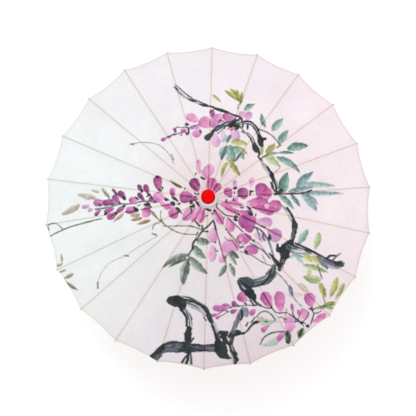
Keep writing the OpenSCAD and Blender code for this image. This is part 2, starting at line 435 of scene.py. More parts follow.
@dataclass
class Wisteria:
    """The painted wisteria, motif by motif, from the washes underneath to the ink on top."""

    marks: list[Stroke | Leaf | Petal] = field(default_factory=list)

    def add(self, kind: type[Leaf | Petal], tone: Tone, *rows: Row, load: float = 0.9) -> None:
        """Adds leaves or petals of one tone.

        Args:
            kind: Leaf or Petal.
            tone: their pigment.
            rows: one for each: (x, y, tip x, tip y, width, depth), then those of the kind's extras that differ.
            load: how much they hide.
        """
        for x, y, tip_x, tip_y, width, depth, *more in rows:
            extras = dict(zip(kind.EXTRAS, more))
            self.marks.append(kind((x, y), (tip_x, tip_y), width, tone, depth, load=load, **extras))

    def lines(self, tone: Tone, *rows: Row, load: float = 0.85) -> None:
        """Adds thin lines.

        Args:
            tone: their pigment.
            rows: one for each: (width, depth, x, y, x, y, ...).
            load: how much they hide.
        """
        for width, depth, *places in rows:
            points = tuple((x, y, width) for x, y in zip(places[::2], places[1::2]))
            self.marks.append(Stroke(points, tone, depth, load))

    def strokes(self, tone: Tone, *rows: Row) -> None:
        """Adds brush strokes.

        Args:
            tone: their pigment.
            rows: one for each: (depth, load, dryness, x, y, width, x, y, width, ...).
        """
        for depth, load, dry, *places in rows:
            points = tuple(zip(places[::3], places[1::3], places[2::3]))
            self.marks.append(Stroke(points, tone, depth, load, dry))

    def dabs(self, tone: Tone, depth: float, *rows: Row) -> None:
        """Adds short marks, thickest in the middle.

        Args:
            tone: their pigment.
            depth: how deep they are.
            rows: one for each: (x, y, x, y, width).
        """
        for x, y, end_x, end_y, width in rows:
            middle = ((x + end_x) / 2, (y + end_y) / 2, width * 0.95)
            points = ((x, y, width * 0.45), middle, (end_x, end_y, width * 0.5))
            self.marks.append(Stroke(points, tone, depth - 0.12, 0.9))

    def pale_washes(self) -> None:
        """Faint petals and watery leaves behind the rest."""
        self.add(
            Petal, Tone.LILAC, (12, 178, 18, 138, 24, 0.5), (62, 192, 68, 158, 24, 0.5), (32, 186, 36, 158, 16, 0.3),
            (20, 205, 28, 232, 26, 0.4), (74, 216, 86, 240, 20, 0.5), (92, 214, 103, 240, 18, 0.6),
        )
        self.add(Petal, Tone.BLUSH, (-24, 62, -26, 104, 15, 0.3))
        self.add(Petal, Tone.LILAC, (66, 28, 67, 52, 12, 0.8))
        self.add(Petal, Tone.BLUSH, (106, 34, 111, 62, 13, 0.3))
        self.add(
            Petal, Tone.LILAC, (118, -80, 146, -94, 22, 0.6), (124, -50, 164, -50, 26, 0.75),
            (152, -72, 186, -88, 36, 0.85),
        )
        self.add(
            Petal, Tone.BLUSH, (15, -72, 14, -108, 23, 0.55), (15, -112, 14, -154, 20, 0.4),
            (58, -96, 46, -134, 30, 0.5), (62, -98, 76, -126, 16, 0.45), (48, -132, 34, -156, 17, 0.4),
            (240, -284, 257, -262, 27, 0.6), (228, -288, 198, -291, 21, 0.65), (229, -301, 203, -311, 24, 0.55),
        )
        self.add(
            Leaf, Tone.MIST, (44, 144, 47, 98, 9, 0.35, 0, 0), (222, 44, 266, 90, 19, 0.85, 2, 0.3, 2.5),
            (228, 50, 322, 56, 17, 0.45, 2, 0.1, 3), (202, 32, 268, 50, 13, 0.8, 0, 0.3, 2.5),
            (244, 30, 345, 38, 12, 0.6, 0, 0.3, 2.5), (236, 30, 278, -14, 22, 0.6, 3, 0.3, 2.5),
            (208, 26, 234, -4, 12, 0.95, 0, 0.3, 2), (262, 24, 280, 4, 8, 0.6, 0, 0.3, 2),
            (205, -135, 248, -132, 10, 0.6, 4, 0), (226, -132, 246, -148, 12, 0.35, 0, 0),
        )
        self.add(Leaf, Tone.TAN, (232, -196, 262, -222, 15, 0.35, 0, 0), load=0.6)
        self.add(Leaf, Tone.TAN, (205, -228, 248, -226, 12, 0.2, 0, 0), load=0.55)
        self.add(Leaf, Tone.SLATE, (91, -262, 108, -287, 23, 0.15, 0, 0.1))
        self.add(
            Leaf, Tone.SAGE, (129, -286, 178, -294, 19, 0.1, -8, 0.1, 2.5), (200, -322, 142, -354, 16, 0, 8, 0, 3),
        )

    def leaves(self) -> None:
        """Teal, olive and tan leaves."""
        self.add(
            Leaf, Tone.OLIVE, (5, 284, 28, 264, 8, 0.55, -1), (74, 270, 34, 298, 13, 0.45, -2),
            (74, 282, 48, 304, 10, 0.5), (78, 262, 66, 302, 13, 0.55, 2), (78, 262, 80, 294, 9, 0.6),
        )
        self.add(
            Leaf, Tone.TEAL, (86, 242, 114, 263, 15, 0.5, 2), (142, 198, 130, 238, 13, 0.55, 2),
            (158, 190, 188, 229, 19, 0.35, 1), (176, 156, 202, 196, 18, 0.55, 2), (198, 144, 254, 158, 22, 0.65, 3),
            (178, 133, 218, 135, 8, 0.85, 1), (170, 121, 232, 84, 18, 0.55, 6),
        )
        self.add(Leaf, Tone.LEAF, (131, 150, 134, 122, 9, 0.4, 0, 0.7))
        self.add(Leaf, Tone.OLIVE, (144, 128, 168, 158, 15, 0.55, 0, 0.9))
        self.add(Leaf, Tone.LEAF, (140, 122, 180, 96, 19, 0.25, 2), (142, 121, 172, 133, 12, 0.3, 0, 0.1))
        self.add(
            Leaf, Tone.TEAL, (52, 170, 28, 152, 11, 0.2, 0, 0.1), (54, 174, 42, 150, 9, 0.6),
            (46, 143, 31, 103, 19, 0.6, -5, 0.8), (52, 146, 64, 98, 22, 0.5, -2), (60, 142, 88, 108, 22, 0.5, 4, 0.2),
            (66, 102, 80, 124, 7, 0.9),
        )
        self.add(
            Leaf, Tone.OLIVE, (54, 154, 97, 150, 18, 0.35, 2, 0.2), (72, 142, 96, 124, 11, 0.4, 0, 0.6),
            (48, 100, 33, 54, 10, 0.6, -5), (50, 106, 80, 62, 15, 0.55, -1, 0.7),
        )
        self.add(
            Leaf, Tone.TEAL, (186, 26, 199, 84, 27, 0.72, 1, 0.9), (178, 22, 218, -12, 15, 0.55, 2, 0.2),
            (255, -60, 228, -104, 17, 0.35),
        )
        self.add(Leaf, Tone.LEAF, (285, -66, 274, -110, 17, 0.3, 0, 0.5))
        self.add(
            Leaf, Tone.SAGE, (-28, -102, 8, -108, 19, 0.5, -1, 0.8), (-34, -116, -2, -146, 20, 0.45, -4, 0.9),
            (-44, -138, -110, -170, 17, 0.6, -6, 0.8), (-46, -148, -96, -170, 10, 0.75, -4, 0.9),
            (-46, -148, -58, -214, 23, 0.55, -3, 0.9), (-42, -142, 4, -184, 19, 0.5, -4, 0.9),
            (54, -130, 82, -142, 16, 0.7, 1), (56, -134, 76, -160, 10, 0.4, 0, 0.4), (50, -160, 32, -190, 13, 0.55),
            (58, -156, 72, -190, 13, 0.5),
        )
        self.add(Leaf, Tone.OLIVE, (244, -122, 268, -142, 13, 0.3), (262, -128, 296, -150, 15, 0.4, 2))
        self.add(Leaf, Tone.LEAF, (244, -150, 310, -166, 13, 0.55, 1))
        self.add(Leaf, Tone.OLIVE, (262, -160, 258, -178, 12, 0.2, 0, 0.1))
        self.add(Leaf, Tone.LEAF, (292, -186, 244, -180, 21, 0.5, 2, 0.7))
        self.add(
            Leaf, Tone.OLIVE, (288, -192, 304, -230, 17, 0.5), (334, -176, 316, -228, 17, 0.4),
            (352, -190, 330, -232, 12, 0.5), (300, -252, 330, -238, 17, 0.6, -2, 0.9),
        )
        self.add(Leaf, Tone.LEAF, (304, -252, 326, -256, 11, 0.8))
        self.add(
            Leaf, Tone.TAN, (-286, 8, -334, 18, 16, 0.25, 0, 0.2), (-326, -8, -376, -34, 17, 0.45, 2, 0.5),
            (-252, 8, -272, 34, 9, 0.6), (-278, 22, -300, 29, 7, 0.5),
        )
        self.add(Leaf, Tone.BROWN, (-66, 28, -98, 48, 8, 0.7, 0, 0.8))
        self.add(Leaf, Tone.TAN, (-212, -34, -240, -56, 9, 0.6), (-170, -38, -196, -40, 10, 0.55))
        self.add(Leaf, Tone.BROWN, (-164, -46, -196, -52, 9, 0.35), (-144, -52, -178, -62, 9, 0.45))
        self.add(Leaf, Tone.VINE, (-146, -28, -124, -50, 8, 0.3, 0, 0.8))
        self.add(
            Leaf, Tone.TAN, (-372, -132, -368, -158, 6, 0.6), (-366, -158, -390, -168, 7, 0.7),
            (-358, -174, -378, -182, 6, 0.6),
        )
        self.add(Leaf, Tone.VINE, (-338, -184, -362, -196, 9, 0.35), (-328, -224, -360, -204, 9, 0.4))
        self.add(Leaf, Tone.LEAF, (238, -334, 250, -306, 18, 0.95))

    def upper_raceme(self) -> None:
        """The raceme that hangs left from the top branch."""
        self.add(Petal, Tone.DEEP, (-108, 163, -124, 156, 10, 0.3), (-96, 168, -109, 164, 7, 0.45))
        self.add(Petal, Tone.ROSE, (-86, 180, -92, 190, 9, 0.5))
        self.add(Petal, Tone.DEEP, (-60, 186, -74, 180, 13, 0.3), (-54, 198, -64, 201, 8, 0.9))
        self.add(Petal, Tone.ROSE, (-70, 176, -75, 168, 7, 0.5))
        self.add(Petal, Tone.DEEP, (-52, 178, -62, 171, 10, 0.5))
        self.add(
            Petal, Tone.ROSE, (-84, 174, -93, 172, 6, 0.5), (-31, 208, -60, 226, 24, 0.15),
            (2, 194, -26, 216, 33, 0.22, 0.5),
        )
        self.add(Petal, Tone.BLUSH, (24, 204, -4, 204, 26, 0.7))
        self.add(Petal, Tone.ROSE, (-24, 188, -40, 165, 22, 0.2))
        self.add(Petal, Tone.BLUSH, (-26, 196, -52, 190, 13, 0.7))
        self.add(Petal, Tone.DEEP, (10, 214, 2, 242, 13, 0.4))
        self.add(Petal, Tone.BLUSH, (30, 206, 10, 228, 20, 0.6))
        self.add(Petal, Tone.ROSE, (48, 208, 38, 234, 20, 0.5))
        self.add(Petal, Tone.LILAC, (62, 206, 56, 232, 16, 0.8))
        self.add(Petal, Tone.BLUSH, (60, 206, 52, 184, 16, 0.4))
        self.lines(
            Tone.SLATE, (1.8, 1.2, -110, 164, -96, 170, -86, 172, -74, 177, -58, 178),
            (2.4, 1.3, -90, 180, -84, 192, -74, 190, -64, 192, -54, 188, -54, 178),
            (1.6, 1.1, -52, 190, -42, 194, -30, 200), (2, 1, 26, 214, 40, 208, 56, 212, 70, 204),
            (2.6, 1, 36, 196, 50, 206, 62, 216, 74, 214), (2, 1, 44, 188, 54, 198, 58, 212),
            (2, 1, 66, 186, 62, 200, 66, 216), (2.6, 0.9, 88, 184, 78, 196, 72, 210),
            (2.2, 0.9, 20, 176, 32, 188, 46, 200),
        )
        self.dabs(
            Tone.INK, 0.75, (-62, 202, -55, 200, 4), (-56, 190, -54, 180, 3), (-26, 183, -22, 178, 5),
            (-58, 174, -54, 178, 4), (-96, 171, -90, 172, 3), (-88, 178, -85, 180, 3), (-66, 179, -62, 181, 3),
            (4, 236, 9, 242, 4), (5, 224, 9, 230, 3), (22, 206, 26, 214, 4), (84, 208, 83, 196, 5),
            (96, 206, 95, 192, 6), (34, 204, 38, 190, 4),
        )

    def left_raceme(self) -> None:
        """The long raceme that runs left from the crown."""
        self.lines(
            Tone.TEAL, (4, 0.8, -286, -22, -250, -17, -225, -10, -200, -10, -170, -5, -148, -4, -118, -6),
            (5, 0.6, -248, -18, -232, -10),
        )
        self.add(Petal, Tone.LILAC, (-300, -13, -322, -15, 11, 0.8))
        self.add(Petal, Tone.DEEP, (-260, -8, -292, -2, 20, 0.12), (-272, -22, -288, -38, 12, 0.45))
        self.add(Petal, Tone.LILAC, (-292, -20, -306, -26, 9, 0.8))
        self.add(
            Petal, Tone.DEEP, (-236, -8, -268, -4, 17, 0.7), (-238, -20, -264, -30, 14, 0.5),
            (-232, 16, -245, 30, 7, 0.8), (-223, -8, -243, 13, 15, 0.55), (-209, 2, -228, 24, 15, 0.7),
            (-230, -32, -255, -47, 17, 0.4), (-207, -11, -231, -30, 13, 0.5),
        )
        self.add(Petal, Tone.ROSE, (-177, -8, -200, 4, 17, 0.45, 0.15), (-178, -24, -208, -28, 20, 0.5, 0.2))
        self.add(
            Petal, Tone.DEEP, (-166, 20, -179, 40, 11, 0.75), (-150, 12, -162, 40, 13, 0.75),
            (-160, -4, -178, 18, 12, 0.75), (-134, -10, -149, 6, 12, 0.35), (-124, 22, -131, 62, 22, 0.6, 0.5),
        )
        self.add(Petal, Tone.ROSE, (-110, 4, -140, 6, 28, 0.3, 0.15))
        self.add(Petal, Tone.BLUSH, (-110, -8, -120, -14, 18, 0.6, 0.1))
        self.add(Petal, Tone.ROSE, (-152, -14, -158, -46, 23, 0.5, 0.2, -0.6))
        self.add(Petal, Tone.DEEP, (-88, 6, -92, 29, 15, 0.4, 0.35, -0.4))
        self.add(Petal, Tone.ROSE, (-84, -16, -112, -20, 16, 0.35, 0.5), (-72, -24, -96, -44, 28, 0.5, 0.3))
        self.lines(
            Tone.DEEP, (3, 1, -207, -31, -195, -32, -182, -28), (3.2, 1, -167, -26, -156, -24, -148, -22),
            (2.6, 1, -158, 21, -153, 20), (3.4, 1, -246, -41, -238, -37, -231, -34),
            (3, 0.95, -94, -44, -84, -40, -74, -34), (2.6, 0.7, -112, -17, -96, -16), (2.4, 0.9, -94, 11, -86, 12),
        )
        self.dabs(
            Tone.INK, 0.85, (-237, 20, -231, 15, 6), (-216, 9, -210, 2, 8), (-226, -5, -221, -9, 5),
            (-210, -13, -216, -17, 6), (-234, -30, -230, -36, 6), (-185, 8, -175, 0, 5), (-186, -20, -178, -28, 10),
            (-169, 24, -167, 21, 7), (-153, 16, -148, 12, 6), (-156, 8, -146, 12, 5), (-146, 10, -140, 1, 5),
            (-160, -13, -147, -12, 11), (-148, -16, -142, -20, 5), (-132, 60, -128, 55, 6), (-124, 25, -119, 21, 6),
            (-115, 31, -117, 24, 5), (-108, 2, -104, -4, 8), (-104, 0, -98, -3, 3), (-136, -3, -132, -8, 5),
            (-90, 4, -80, -2, 8), (-92, -8, -84, -15, 10), (-82, 2, -76, -6, 5), (-80, -22, -70, -30, 8),
            (-76, -35, -70, -30, 5), (-72, -30, -64, -38, 4), (-76, -14, -70, -12, 4), (-60, 22, -58, 28, 3),
            (-170, -12, -178, -16, 3), (-262, -36, -256, -32, 6), (-280, -36, -286, -38, 5), (-278, -8, -272, -12, 4),
            (-247, 3, -242, -2, 4),
        )

    def crown_petals(self) -> None:
        """Petals round the crown."""
        self.add(Petal, Tone.DEEP, (-36, 2, -72, 6, 31, 0.3, 0.6), (-27, 18, -40, 53, 27, 0.6, 0.7))
        self.add(Petal, Tone.BLUSH, (-34, -18, -60, -54, 24, 0.7, 0.3))
        self.add(
            Petal, Tone.ROSE, (-16, -20, -40, -58, 17, 0.3, 0.6), (-10, -24, -20, -60, 17, 0.35, 0.6),
            (1, 20, 12, 55, 26, 0.5, 0.6, 0.2), (12, 16, 29, 40, 19, 0.6, 0.7),
        )
        self.add(Petal, Tone.BLUSH, (-8, 50, 6, 90, 28, 0.6, 0.1, -0.4))
        self.add(
            Petal, Tone.ROSE, (-2, 52, -10, 80, 20, 0.25, 0.1, -0.4), (16, -27, 38, -62, 19, 0.35, 0.3),
            (-26, -2, -38, 2, 14, 0.8, 0.2),
        )
        self.add(Petal, Tone.DEEP, (58, 6, 44, 30, 22, 0.3, 0.35, -0.2), (92, 4, 83, 33, 28, 0.62))
        self.add(
            Petal, Tone.ROSE, (40, -8, 88, -12, 15, 0.2, 0.6), (30, -10, 64, -26, 16, 0.3, 0.5),
            (44, -22, 80, -32, 15, 0.4, 0.6), (74, 6, 62, -4, 14, 0.35),
        )
        self.lines(
            Tone.DEEP, (3.2, 1, -69, 6, -56, 6, -42, 4), (3, 1.1, -35, 49, -30, 42, -25, 33),
            (3, 0.95, -45, 36, -38, 29, -30, 22), (2.2, 0.6, -62, -52, -52, -44, -42, -35),
            (2.4, 0.85, 12, 52, 9, 40, 6, 28), (2.6, 0.9, 23, 39, 17, 30, 13, 22), (2, 0.6, 30, 28, 22, 20, 17, 15),
            (2.4, 0.9, 42, 20, 50, 23, 57, 25), (2.2, 0.5, -17, -56, -13, -40, -12, -30),
            (2.4, 0.8, 19, -32, 28, -46, 38, -61),
        )
        self.dabs(
            Tone.INK, 0.85, (-20, 57, -10, 50, 6), (-32, 68, -34, 62, 4), (-41, -5, -43, -13, 8),
            (-46, -20, -34, -20, 6), (-37, -14, -34, -22, 5), (-43, -22, -40, -36, 4), (-30, -8, -22, -18, 7),
            (-24, 14, -26, 8, 4), (-35, 14, -29, 9, 3), (-8, -26, 8, -30, 5), (2, -28, 4, -30, 6),
            (16, -28, 17, -33, 6), (10, -38, 14, -36, 3), (46, 0, 46, -8, 6), (64, 30, 70, 32, 8), (66, 22, 66, 16, 4),
            (64, 6, 65, -2, 4), (60, -1, 66, -1, 3), (-4, -44, 0, -42, 3), (104, 14, 108, 26, 5),
            (104, 26, 114, 26, 5), (24, -10, 21, -18, 3),
        )

    def right_petals(self) -> None:
        """The large cluster right of and below the crown."""
        self.add(Petal, Tone.DEEP, (126, 12, 142, 48, 36, 0.42, 0.3))
        self.add(
            Petal, Tone.ROSE, (146, 6, 152, 38, 26, 0.5, 0.3), (98, -6, 152, 0, 30, 0.55, 0.3),
            (150, -10, 186, -4, 30, 0.55, 0.3),
        )
        self.add(Petal, Tone.DEEP, (116, -16, 166, -26, 18, 0.3, 0.3))
        self.add(Petal, Tone.ROSE, (110, -14, 180, -18, 14, 0.6, 0.2))
        self.add(
            Petal, Tone.DEEP, (96, -26, 112, -34, 18, 0.5), (122, -42, 78, -58, 36, 0.42, 0.4),
            (118, -52, 94, -72, 30, 0.35),
        )
        self.add(Petal, Tone.ROSE, (50, -46, 62, -80, 23, 0.3, 0.3))
        self.add(Petal, Tone.DEEP, (112, -90, 76, -98, 27, 0.3, 0.3), (94, -122, 130, -118, 25, 0.35, 0.2))
        self.add(Petal, Tone.ROSE, (74, -30, 100, -30, 12, 0.5))
        self.add(
            Petal, Tone.LILAC, (98, -5, 108, -8, 7, 0.1, 0), (142, -8, 154, -10, 13, 0.1, 0),
            (80, -94, 90, -98, 9, 0.4, 0), (86, -108, 94, -102, 8, 0.4, 0), load=0.8,
        )
        self.lines(
            Tone.DEEP, (3, 1, 112, -15, 126, -17, 148, -20, 172, -22), (4, 1.15, 90, -39, 104, -46, 119, -52),
            (3, 1.1, 74, 9, 86, 10, 98, 12), (3, 0.9, 141, 18, 156, 19), (2.4, 0.75, 44, -22, 60, -28, 76, -34),
            (2.4, 0.8, 50, -46, 68, -60, 90, -78), (2.4, 0.5, 40, -8, 64, -10, 84, -11),
            (3, 0.75, 122, -54, 138, -62, 162, -71, 188, -82), (3, 0.95, 95, -82, 106, -90, 117, -99),
            (2.6, 0.6, 18, -68, 28, -95, 36, -122, 44, -142), (2.2, 0.6, 62, -101, 70, -110, 77, -120),
            (2, 0.7, 78, -88, 74, -100, 82, -108),
        )
        self.dabs(
            Tone.INK, 0.8, (98, -14, 108, -20, 6), (104, -30, 112, -34, 9), (66, -42, 74, -42, 9),
            (66, -48, 74, -50, 8), (116, -99, 119, -96, 5), (96, -124, 104, -132, 9), (138, -61, 147, -64, 5),
            (90, -17, 82, -18, 3), (122, -30, 120, -36, 4), (84, -116, 92, -114, 5), (44, -144, 48, -142, 5),
            (20, -108, 22, -106, 4), (26, -128, 28, -126, 4), (48, -73, 47, -75, 4), (76, -35, 80, -36, 5),
            (158, -82, 156, -94, 10),
        )

    def lower_raceme(self) -> None:
        """The raceme along the lower right, down to the rim."""
        self.lines(
            Tone.SLATE, (2, 1.1, 14, -286, 32, -281, 54, -267, 79, -261, 110, -257, 129, -257),
            (1.8, 1, 40, -286, 56, -276, 78, -270),
        )
        self.add(
            Petal, Tone.DEEP, (32, -281, 12, -287, 9, 0.35), (41, -284, 26, -293, 7, 0.3),
            (54, -269, 18, -267, 16, 0.4, 0.3), (62, -259, 41, -259, 9, 0.4), (80, -256, 65, -254, 13, 0.6),
            (79, -270, 63, -277, 12, 0.5), (104, -247, 82, -230, 26, 0.3), (126, -266, 113, -281, 15, 0.25),
            (167, -259, 143, -224, 28, 0.22, 0.3), (191, -268, 184, -219, 29, 0.15, 0.2),
            (268, -254, 261, -219, 29, 0.18, 0.3), (223, -272, 218, -248, 8, 0.35),
        )
        self.add(Petal, Tone.ROSE, (235, -276, 236, -262, 7, 0.6))
        self.add(Petal, Tone.DEEP, (158, -308, 143, -320, 13, 0.3), (203, -318, 184, -340, 15, 0.1))
        self.add(Petal, Tone.ROSE, (142, -292, 126, -300, 8, 0.4), (273, -293, 306, -270, 15, 0.35))
        self.add(Leaf, Tone.SAGE, (208, -316, 214, -350, 17, 1.1, 0, 0.9))
        self.add(Leaf, Tone.LEAF, (278, -257, 330, -243, 9, 0.9, -2))
        self.lines(
            Tone.DEEP, (3.4, 0.95, 146, -228, 156, -243, 167, -259), (2.6, 0.4, 250, -224, 256, -238, 264, -250),
        )
        self.lines(
            Tone.SLATE, (2.4, 1.2, 120, -256, 136, -256, 154, -262, 168, -262),
            (2.6, 1.1, 168, -262, 177, -271, 190, -273, 204, -271, 216, -276),
            (2.4, 1, 214, -275, 226, -281, 237, -291, 250, -302), (1.8, 1, 204, -262, 206, -270, 202, -278),
            (2, 1, 220, -270, 228, -284, 230, -292), (2, 0.9, 242, -270, 236, -284, 244, -298),
            (2.2, 0.9, 226, -294, 240, -291, 254, -296), (1.8, 0.8, 262, -268, 258, -280, 248, -292),
            (2.8, 1.1, 270, -254, 272, -266, 276, -270, 272, -284, 268, -297),
            (2.4, 1, 276, -270, 286, -268, 294, -263), (2.4, 1.1, 262, -258, 270, -262, 278, -258),
            (2, 1.1, 186, -284, 194, -283), (2, 1.1, 198, -286, 206, -288),
        )
        self.lines(
            Tone.SAGE, (3, 0.85, 130, -284, 139, -274, 152, -270, 166, -277, 178, -291),
            (3.2, 0.9, 141, -352, 149, -336, 164, -325, 184, -320, 202, -318), load=0.8,
        )
        self.dabs(
            Tone.INK, 0.9, (62, -262, 66, -264, 3), (52, -274, 58, -272, 3), (80, -258, 84, -260, 5),
            (88, -270, 93, -287, 4), (158, -307, 162, -306, 3), (152, -295, 156, -296, 3), (164, -260, 168, -262, 4),
            (188, -274, 190, -273, 3), (182, -296, 183, -296, 2), (222, -280, 228, -284, 4), (232, -286, 237, -292, 4),
            (242, -294, 248, -296, 5), (266, -256, 271, -259, 4), (258, -302, 263, -303, 9), (206, -318, 210, -330, 6),
            (206, -342, 212, -348, 5), (246, -312, 240, -328, 9), (120, -258, 128, -256, 4), (98, -252, 104, -255, 5),
            (301, -249, 304, -251, 5),
        )

    def vines(self) -> None:
        """Thin stems and tendrils."""
        self.lines(
            Tone.VINE, (3.2, 0.75, -406, -90, -368, -72, -330, -60, -270, -46),
            (2.4, 0.6, -405, -72, -408, -62, -398, -56, -384, -58, -368, -72),
        )
        self.lines(Tone.VINE, (2, 0.25, -205, 147, -165, 151, -130, 144, -105, 122, -88, 92), load=0.7)
        self.lines(Tone.VINE, (4, 0.6, -200, 148, -194, 147))
        self.lines(Tone.VINE, (3, 0.5, -96, 118, -90, 104), load=0.7)
        self.lines(
            Tone.VINE, (2.8, 0.5, -142, -30, -130, -44, -112, -60, -86, -78, -60, -87, -28, -89),
            (2.6, 0.55, -110, -68, -78, -68, -45, -68, -22, -74, -8, -79), (2.4, 0.5, -118, -30, -118, -48, -112, -58),
            (2.2, 0.5, -118, -58, -134, -64, -138, -76), (4, 0.4, -138, -86, -128, -90),
        )
        self.lines(Tone.VINE, (1.8, 0.15, -124, -92, -150, -106, -178, -122, -204, -140), load=0.55)
        self.lines(Tone.VINE, (4, 0.55, -208, -140, -198, -141))
        self.lines(Tone.VINE, (1.8, 0.2, -205, -140, -245, -158, -268, -186, -276, -222), load=0.55)
        self.lines(
            Tone.VINE, (3.4, 0.6, -275, -206, -274, -220), (4, 0.4, -250, 0, -254, 12, -262, 22),
            (2.2, 0.2, -305, 12, -285, 2, -272, 0),
        )
        self.lines(
            Tone.INK, (4, 0.6, 14, -54, 2, -67, -12, -80, -24, -96), (4, 0.5, 14, -54, 19, -66, 22, -76),
            (5, 0.85, -26, -98, -35, -110, -36, -124), (3, 0.7, -38, -126, -45, -138, -44, -150),
            (4.4, 0.6, -30, -57, -20, -68),
        )
        self.lines(Tone.SLATE, (6, 0.6, -14, -68, -10, -76))
        self.lines(Tone.INK, (3.4, 0.6, -8, -81, 2, -81))
        self.lines(
            Tone.VINE, (3.4, 0.9, -46, -68, -34, -70), (3.6, 0.9, -28, -90, -24, -84),
            (3, 1, 22, -22, 34, -32, 46, -39, 62, -41), (2.4, 0.6, 42, -44, 40, -52),
            (3.6, 0.5, 52, -80, 64, -92, 74, -104, 84, -118), (2.6, 0.5, 44, -94, 54, -101, 64, -100),
            (2.6, 0.6, 84, -126, 112, -134, 134, -146, 150, -154, 166, -158),
        )
        self.lines(Tone.SLATE, (4.6, 0.75, 116, -64, 130, -68, 144, -80, 154, -94))
        self.lines(
            Tone.SLATE, (5, 0.45, 154, -94, 162, -113, 168, -134, 174, -156), (3, 0.8, 124, -68, 130, -82, 134, -94),
            (3, 0.9, 142, -78, 140, -88, 146, -96), (2.6, 0.6, 108, -104, 124, -112, 142, -122, 160, -140), load=0.8,
        )
        self.lines(Tone.VINE, (2.6, 0.4, 118, -99, 132, -106, 144, -120, 154, -132))
        self.lines(Tone.TEAL, (2.8, 0.4, 140, -132, 150, -152))
        self.lines(
            Tone.VINE, (3.6, 0.4, 24, -128, 20, -120), (3, 0.6, 50, -158, 46, -146, 52, -136),
            (3.2, 0.75, 125, 193, 146, 186, 162, 175, 172, 163, 180, 152),
        )
        self.lines(Tone.BROWN, (3, 0.6, 172, 146, 182, 154))
        self.lines(Tone.OLIVE, (4, 1.2, 130, 111, 138, 119, 150, 126))
        self.lines(Tone.VINE, (2.4, 0.3, 180, 100, 178, 90, 168, 81))
        self.lines(Tone.TEAL, (3, 0.4, 150, 127, 168, 131, 182, 133))
        self.lines(Tone.VINE, (2.2, 0.9, 70, 246, 71, 256, 76, 262))
        self.lines(Tone.INK, (3, 0.8, 174, 23, 192, 25, 212, 26), (4, 0.55, 198, 26, 216, 28, 240, 31, 262, 40))
        self.lines(Tone.VINE, (2.8, 0.5, 178, -174, 190, -184, 202, -196, 210, -210))
        self.add(Leaf, Tone.SLATE, (210, -202, 221, -233, 11, 0.45, 0, 0))
        self.lines(Tone.VINE, (2.2, 0.4, 220, -230, 230, -242, 244, -254), (3, 0.6, 282, -148, 288, -166, 294, -182))
        self.lines(Tone.OLIVE, (3, 0.8, 300, -206, 298, -226, 304, -244))
        self.lines(Tone.VINE, (2.6, 0.4, -392, -168, -372, -190, -346, -212, -326, -226), load=0.5)

    def branches(self) -> None:
        """The ink trunk and branches, with dry grey streaks."""
        # top branch, its side lines and its knots
        self.strokes(Tone.SLATE, (0.45, 0.75, 0.4, -98, 304, 4, -80, 288, 7, -60, 272, 8, -36, 262, 7, -10, 252, 5))
        self.strokes(
            Tone.INK, (0.45, 0.85, 0.2, -92, 310, 2, -70, 290, 3, -48, 272, 3.5, -30, 264, 3, -8, 254, 4),
            (0.6, 0.92, 0, -94, 304, 3, -86, 296, 4), (0.7, 0.92, 0, -60, 272, 3, -48, 266, 5, -38, 264, 4),
            (0.85, 0.92, 0, -28, 256, 4, -16, 253, 7, 2, 250, 4.5, 12, 245, 6, 26, 241, 9, 44, 236, 6),
            (0.9, 0.92, 0, 40, 238, 4, 60, 229, 5, 76, 223, 5, 80, 218, 6),
            (0.85, 0.92, 0, 78, 222, 4, 68, 213, 4, 60, 206, 7),
        )
        self.strokes(Tone.SLATE, (0.8, 0.92, 0.35, 74, 200, 8, 58, 206, 10, 40, 203, 8, 22, 195, 9, 8, 182, 8))
        self.strokes(
            Tone.INK, (0.4, 0.8, 0, 66, 198, 4, 48, 200, 4, 28, 192, 4, 16, 182, 3),
            (0.95, 0.92, 0, 58, 204, 11, 52, 200, 13), (0.7, 0.92, 0, 14, 186, 5, 4, 174, 9, -6, 164, 17),
            (0.8, 0.92, 0, 62, 216, 4, 58, 202, 7, 72, 196, 6, 66, 190, 4),
        )
        # down to the knuckle
        self.strokes(Tone.SLATE, (0.9, 0.92, 0.45, 76, 206, 6, 98, 209, 8, 112, 201, 10, 121, 188, 10, 126, 174, 10))
        self.strokes(
            Tone.INK, (0.8, 0.92, 0, 80, 212, 3, 100, 213, 4, 114, 204, 4, 124, 188, 4),
            (0.9, 0.92, 0, 126, 176, 8, 129, 165, 15, 130, 155, 15, 134, 149, 7),
            (0.95, 0.92, 0, 134, 166, 8, 141, 168, 7),
            (0.6, 0.92, 0.35, 80, 184, 4, 94, 179, 7, 105, 169, 8, 111, 157, 9, 117, 148, 12),
            (0.85, 0.92, 0, 114, 148, 12, 119, 139, 17, 126, 129, 6, 125, 118, 4, 130, 110, 5),
        )
        # trunk, right of the crown
        self.strokes(
            Tone.INK, (0.45, 0.92, 0.6, 131, 110, 5, 137, 99, 10, 146, 88, 13, 156, 75, 12),
            (0.95, 0.92, 0, 148, 92, 5, 156, 80, 8, 160, 71, 12, 163, 64, 8),
            (0.6, 0.92, 0.5, 162, 68, 8, 167, 55, 13, 171, 42, 12, 172, 31, 5),
            (0.6, 0.92, 0, 158, 52, 4, 162, 40, 5, 168, 30, 4), (0.6, 0.92, 0, 168, 22, 6, 178, 28, 9, 186, 34, 8),
        )
        self.strokes(Tone.SLATE, (0.9, 0.92, 0.55, 186, -4, 4, 195, -13, 9, 206, -24, 12, 213, -37, 13, 217, -44, 7))
        self.strokes(
            Tone.INK, (0.95, 0.92, 0.3, 200, -8, 4, 209, -22, 5, 218, -38, 5),
            (0.85, 0.92, 0, 219, -47, 12, 221, -56, 16, 220, -66, 11),
        )
        self.strokes(Tone.SLATE, (0.8, 0.92, 0.3, 220, -64, 12, 217, -80, 12, 213, -94, 13))
        self.strokes(Tone.INK, (0.9, 0.92, 0, 224, -66, 3, 221, -80, 4, 216, -96, 5))
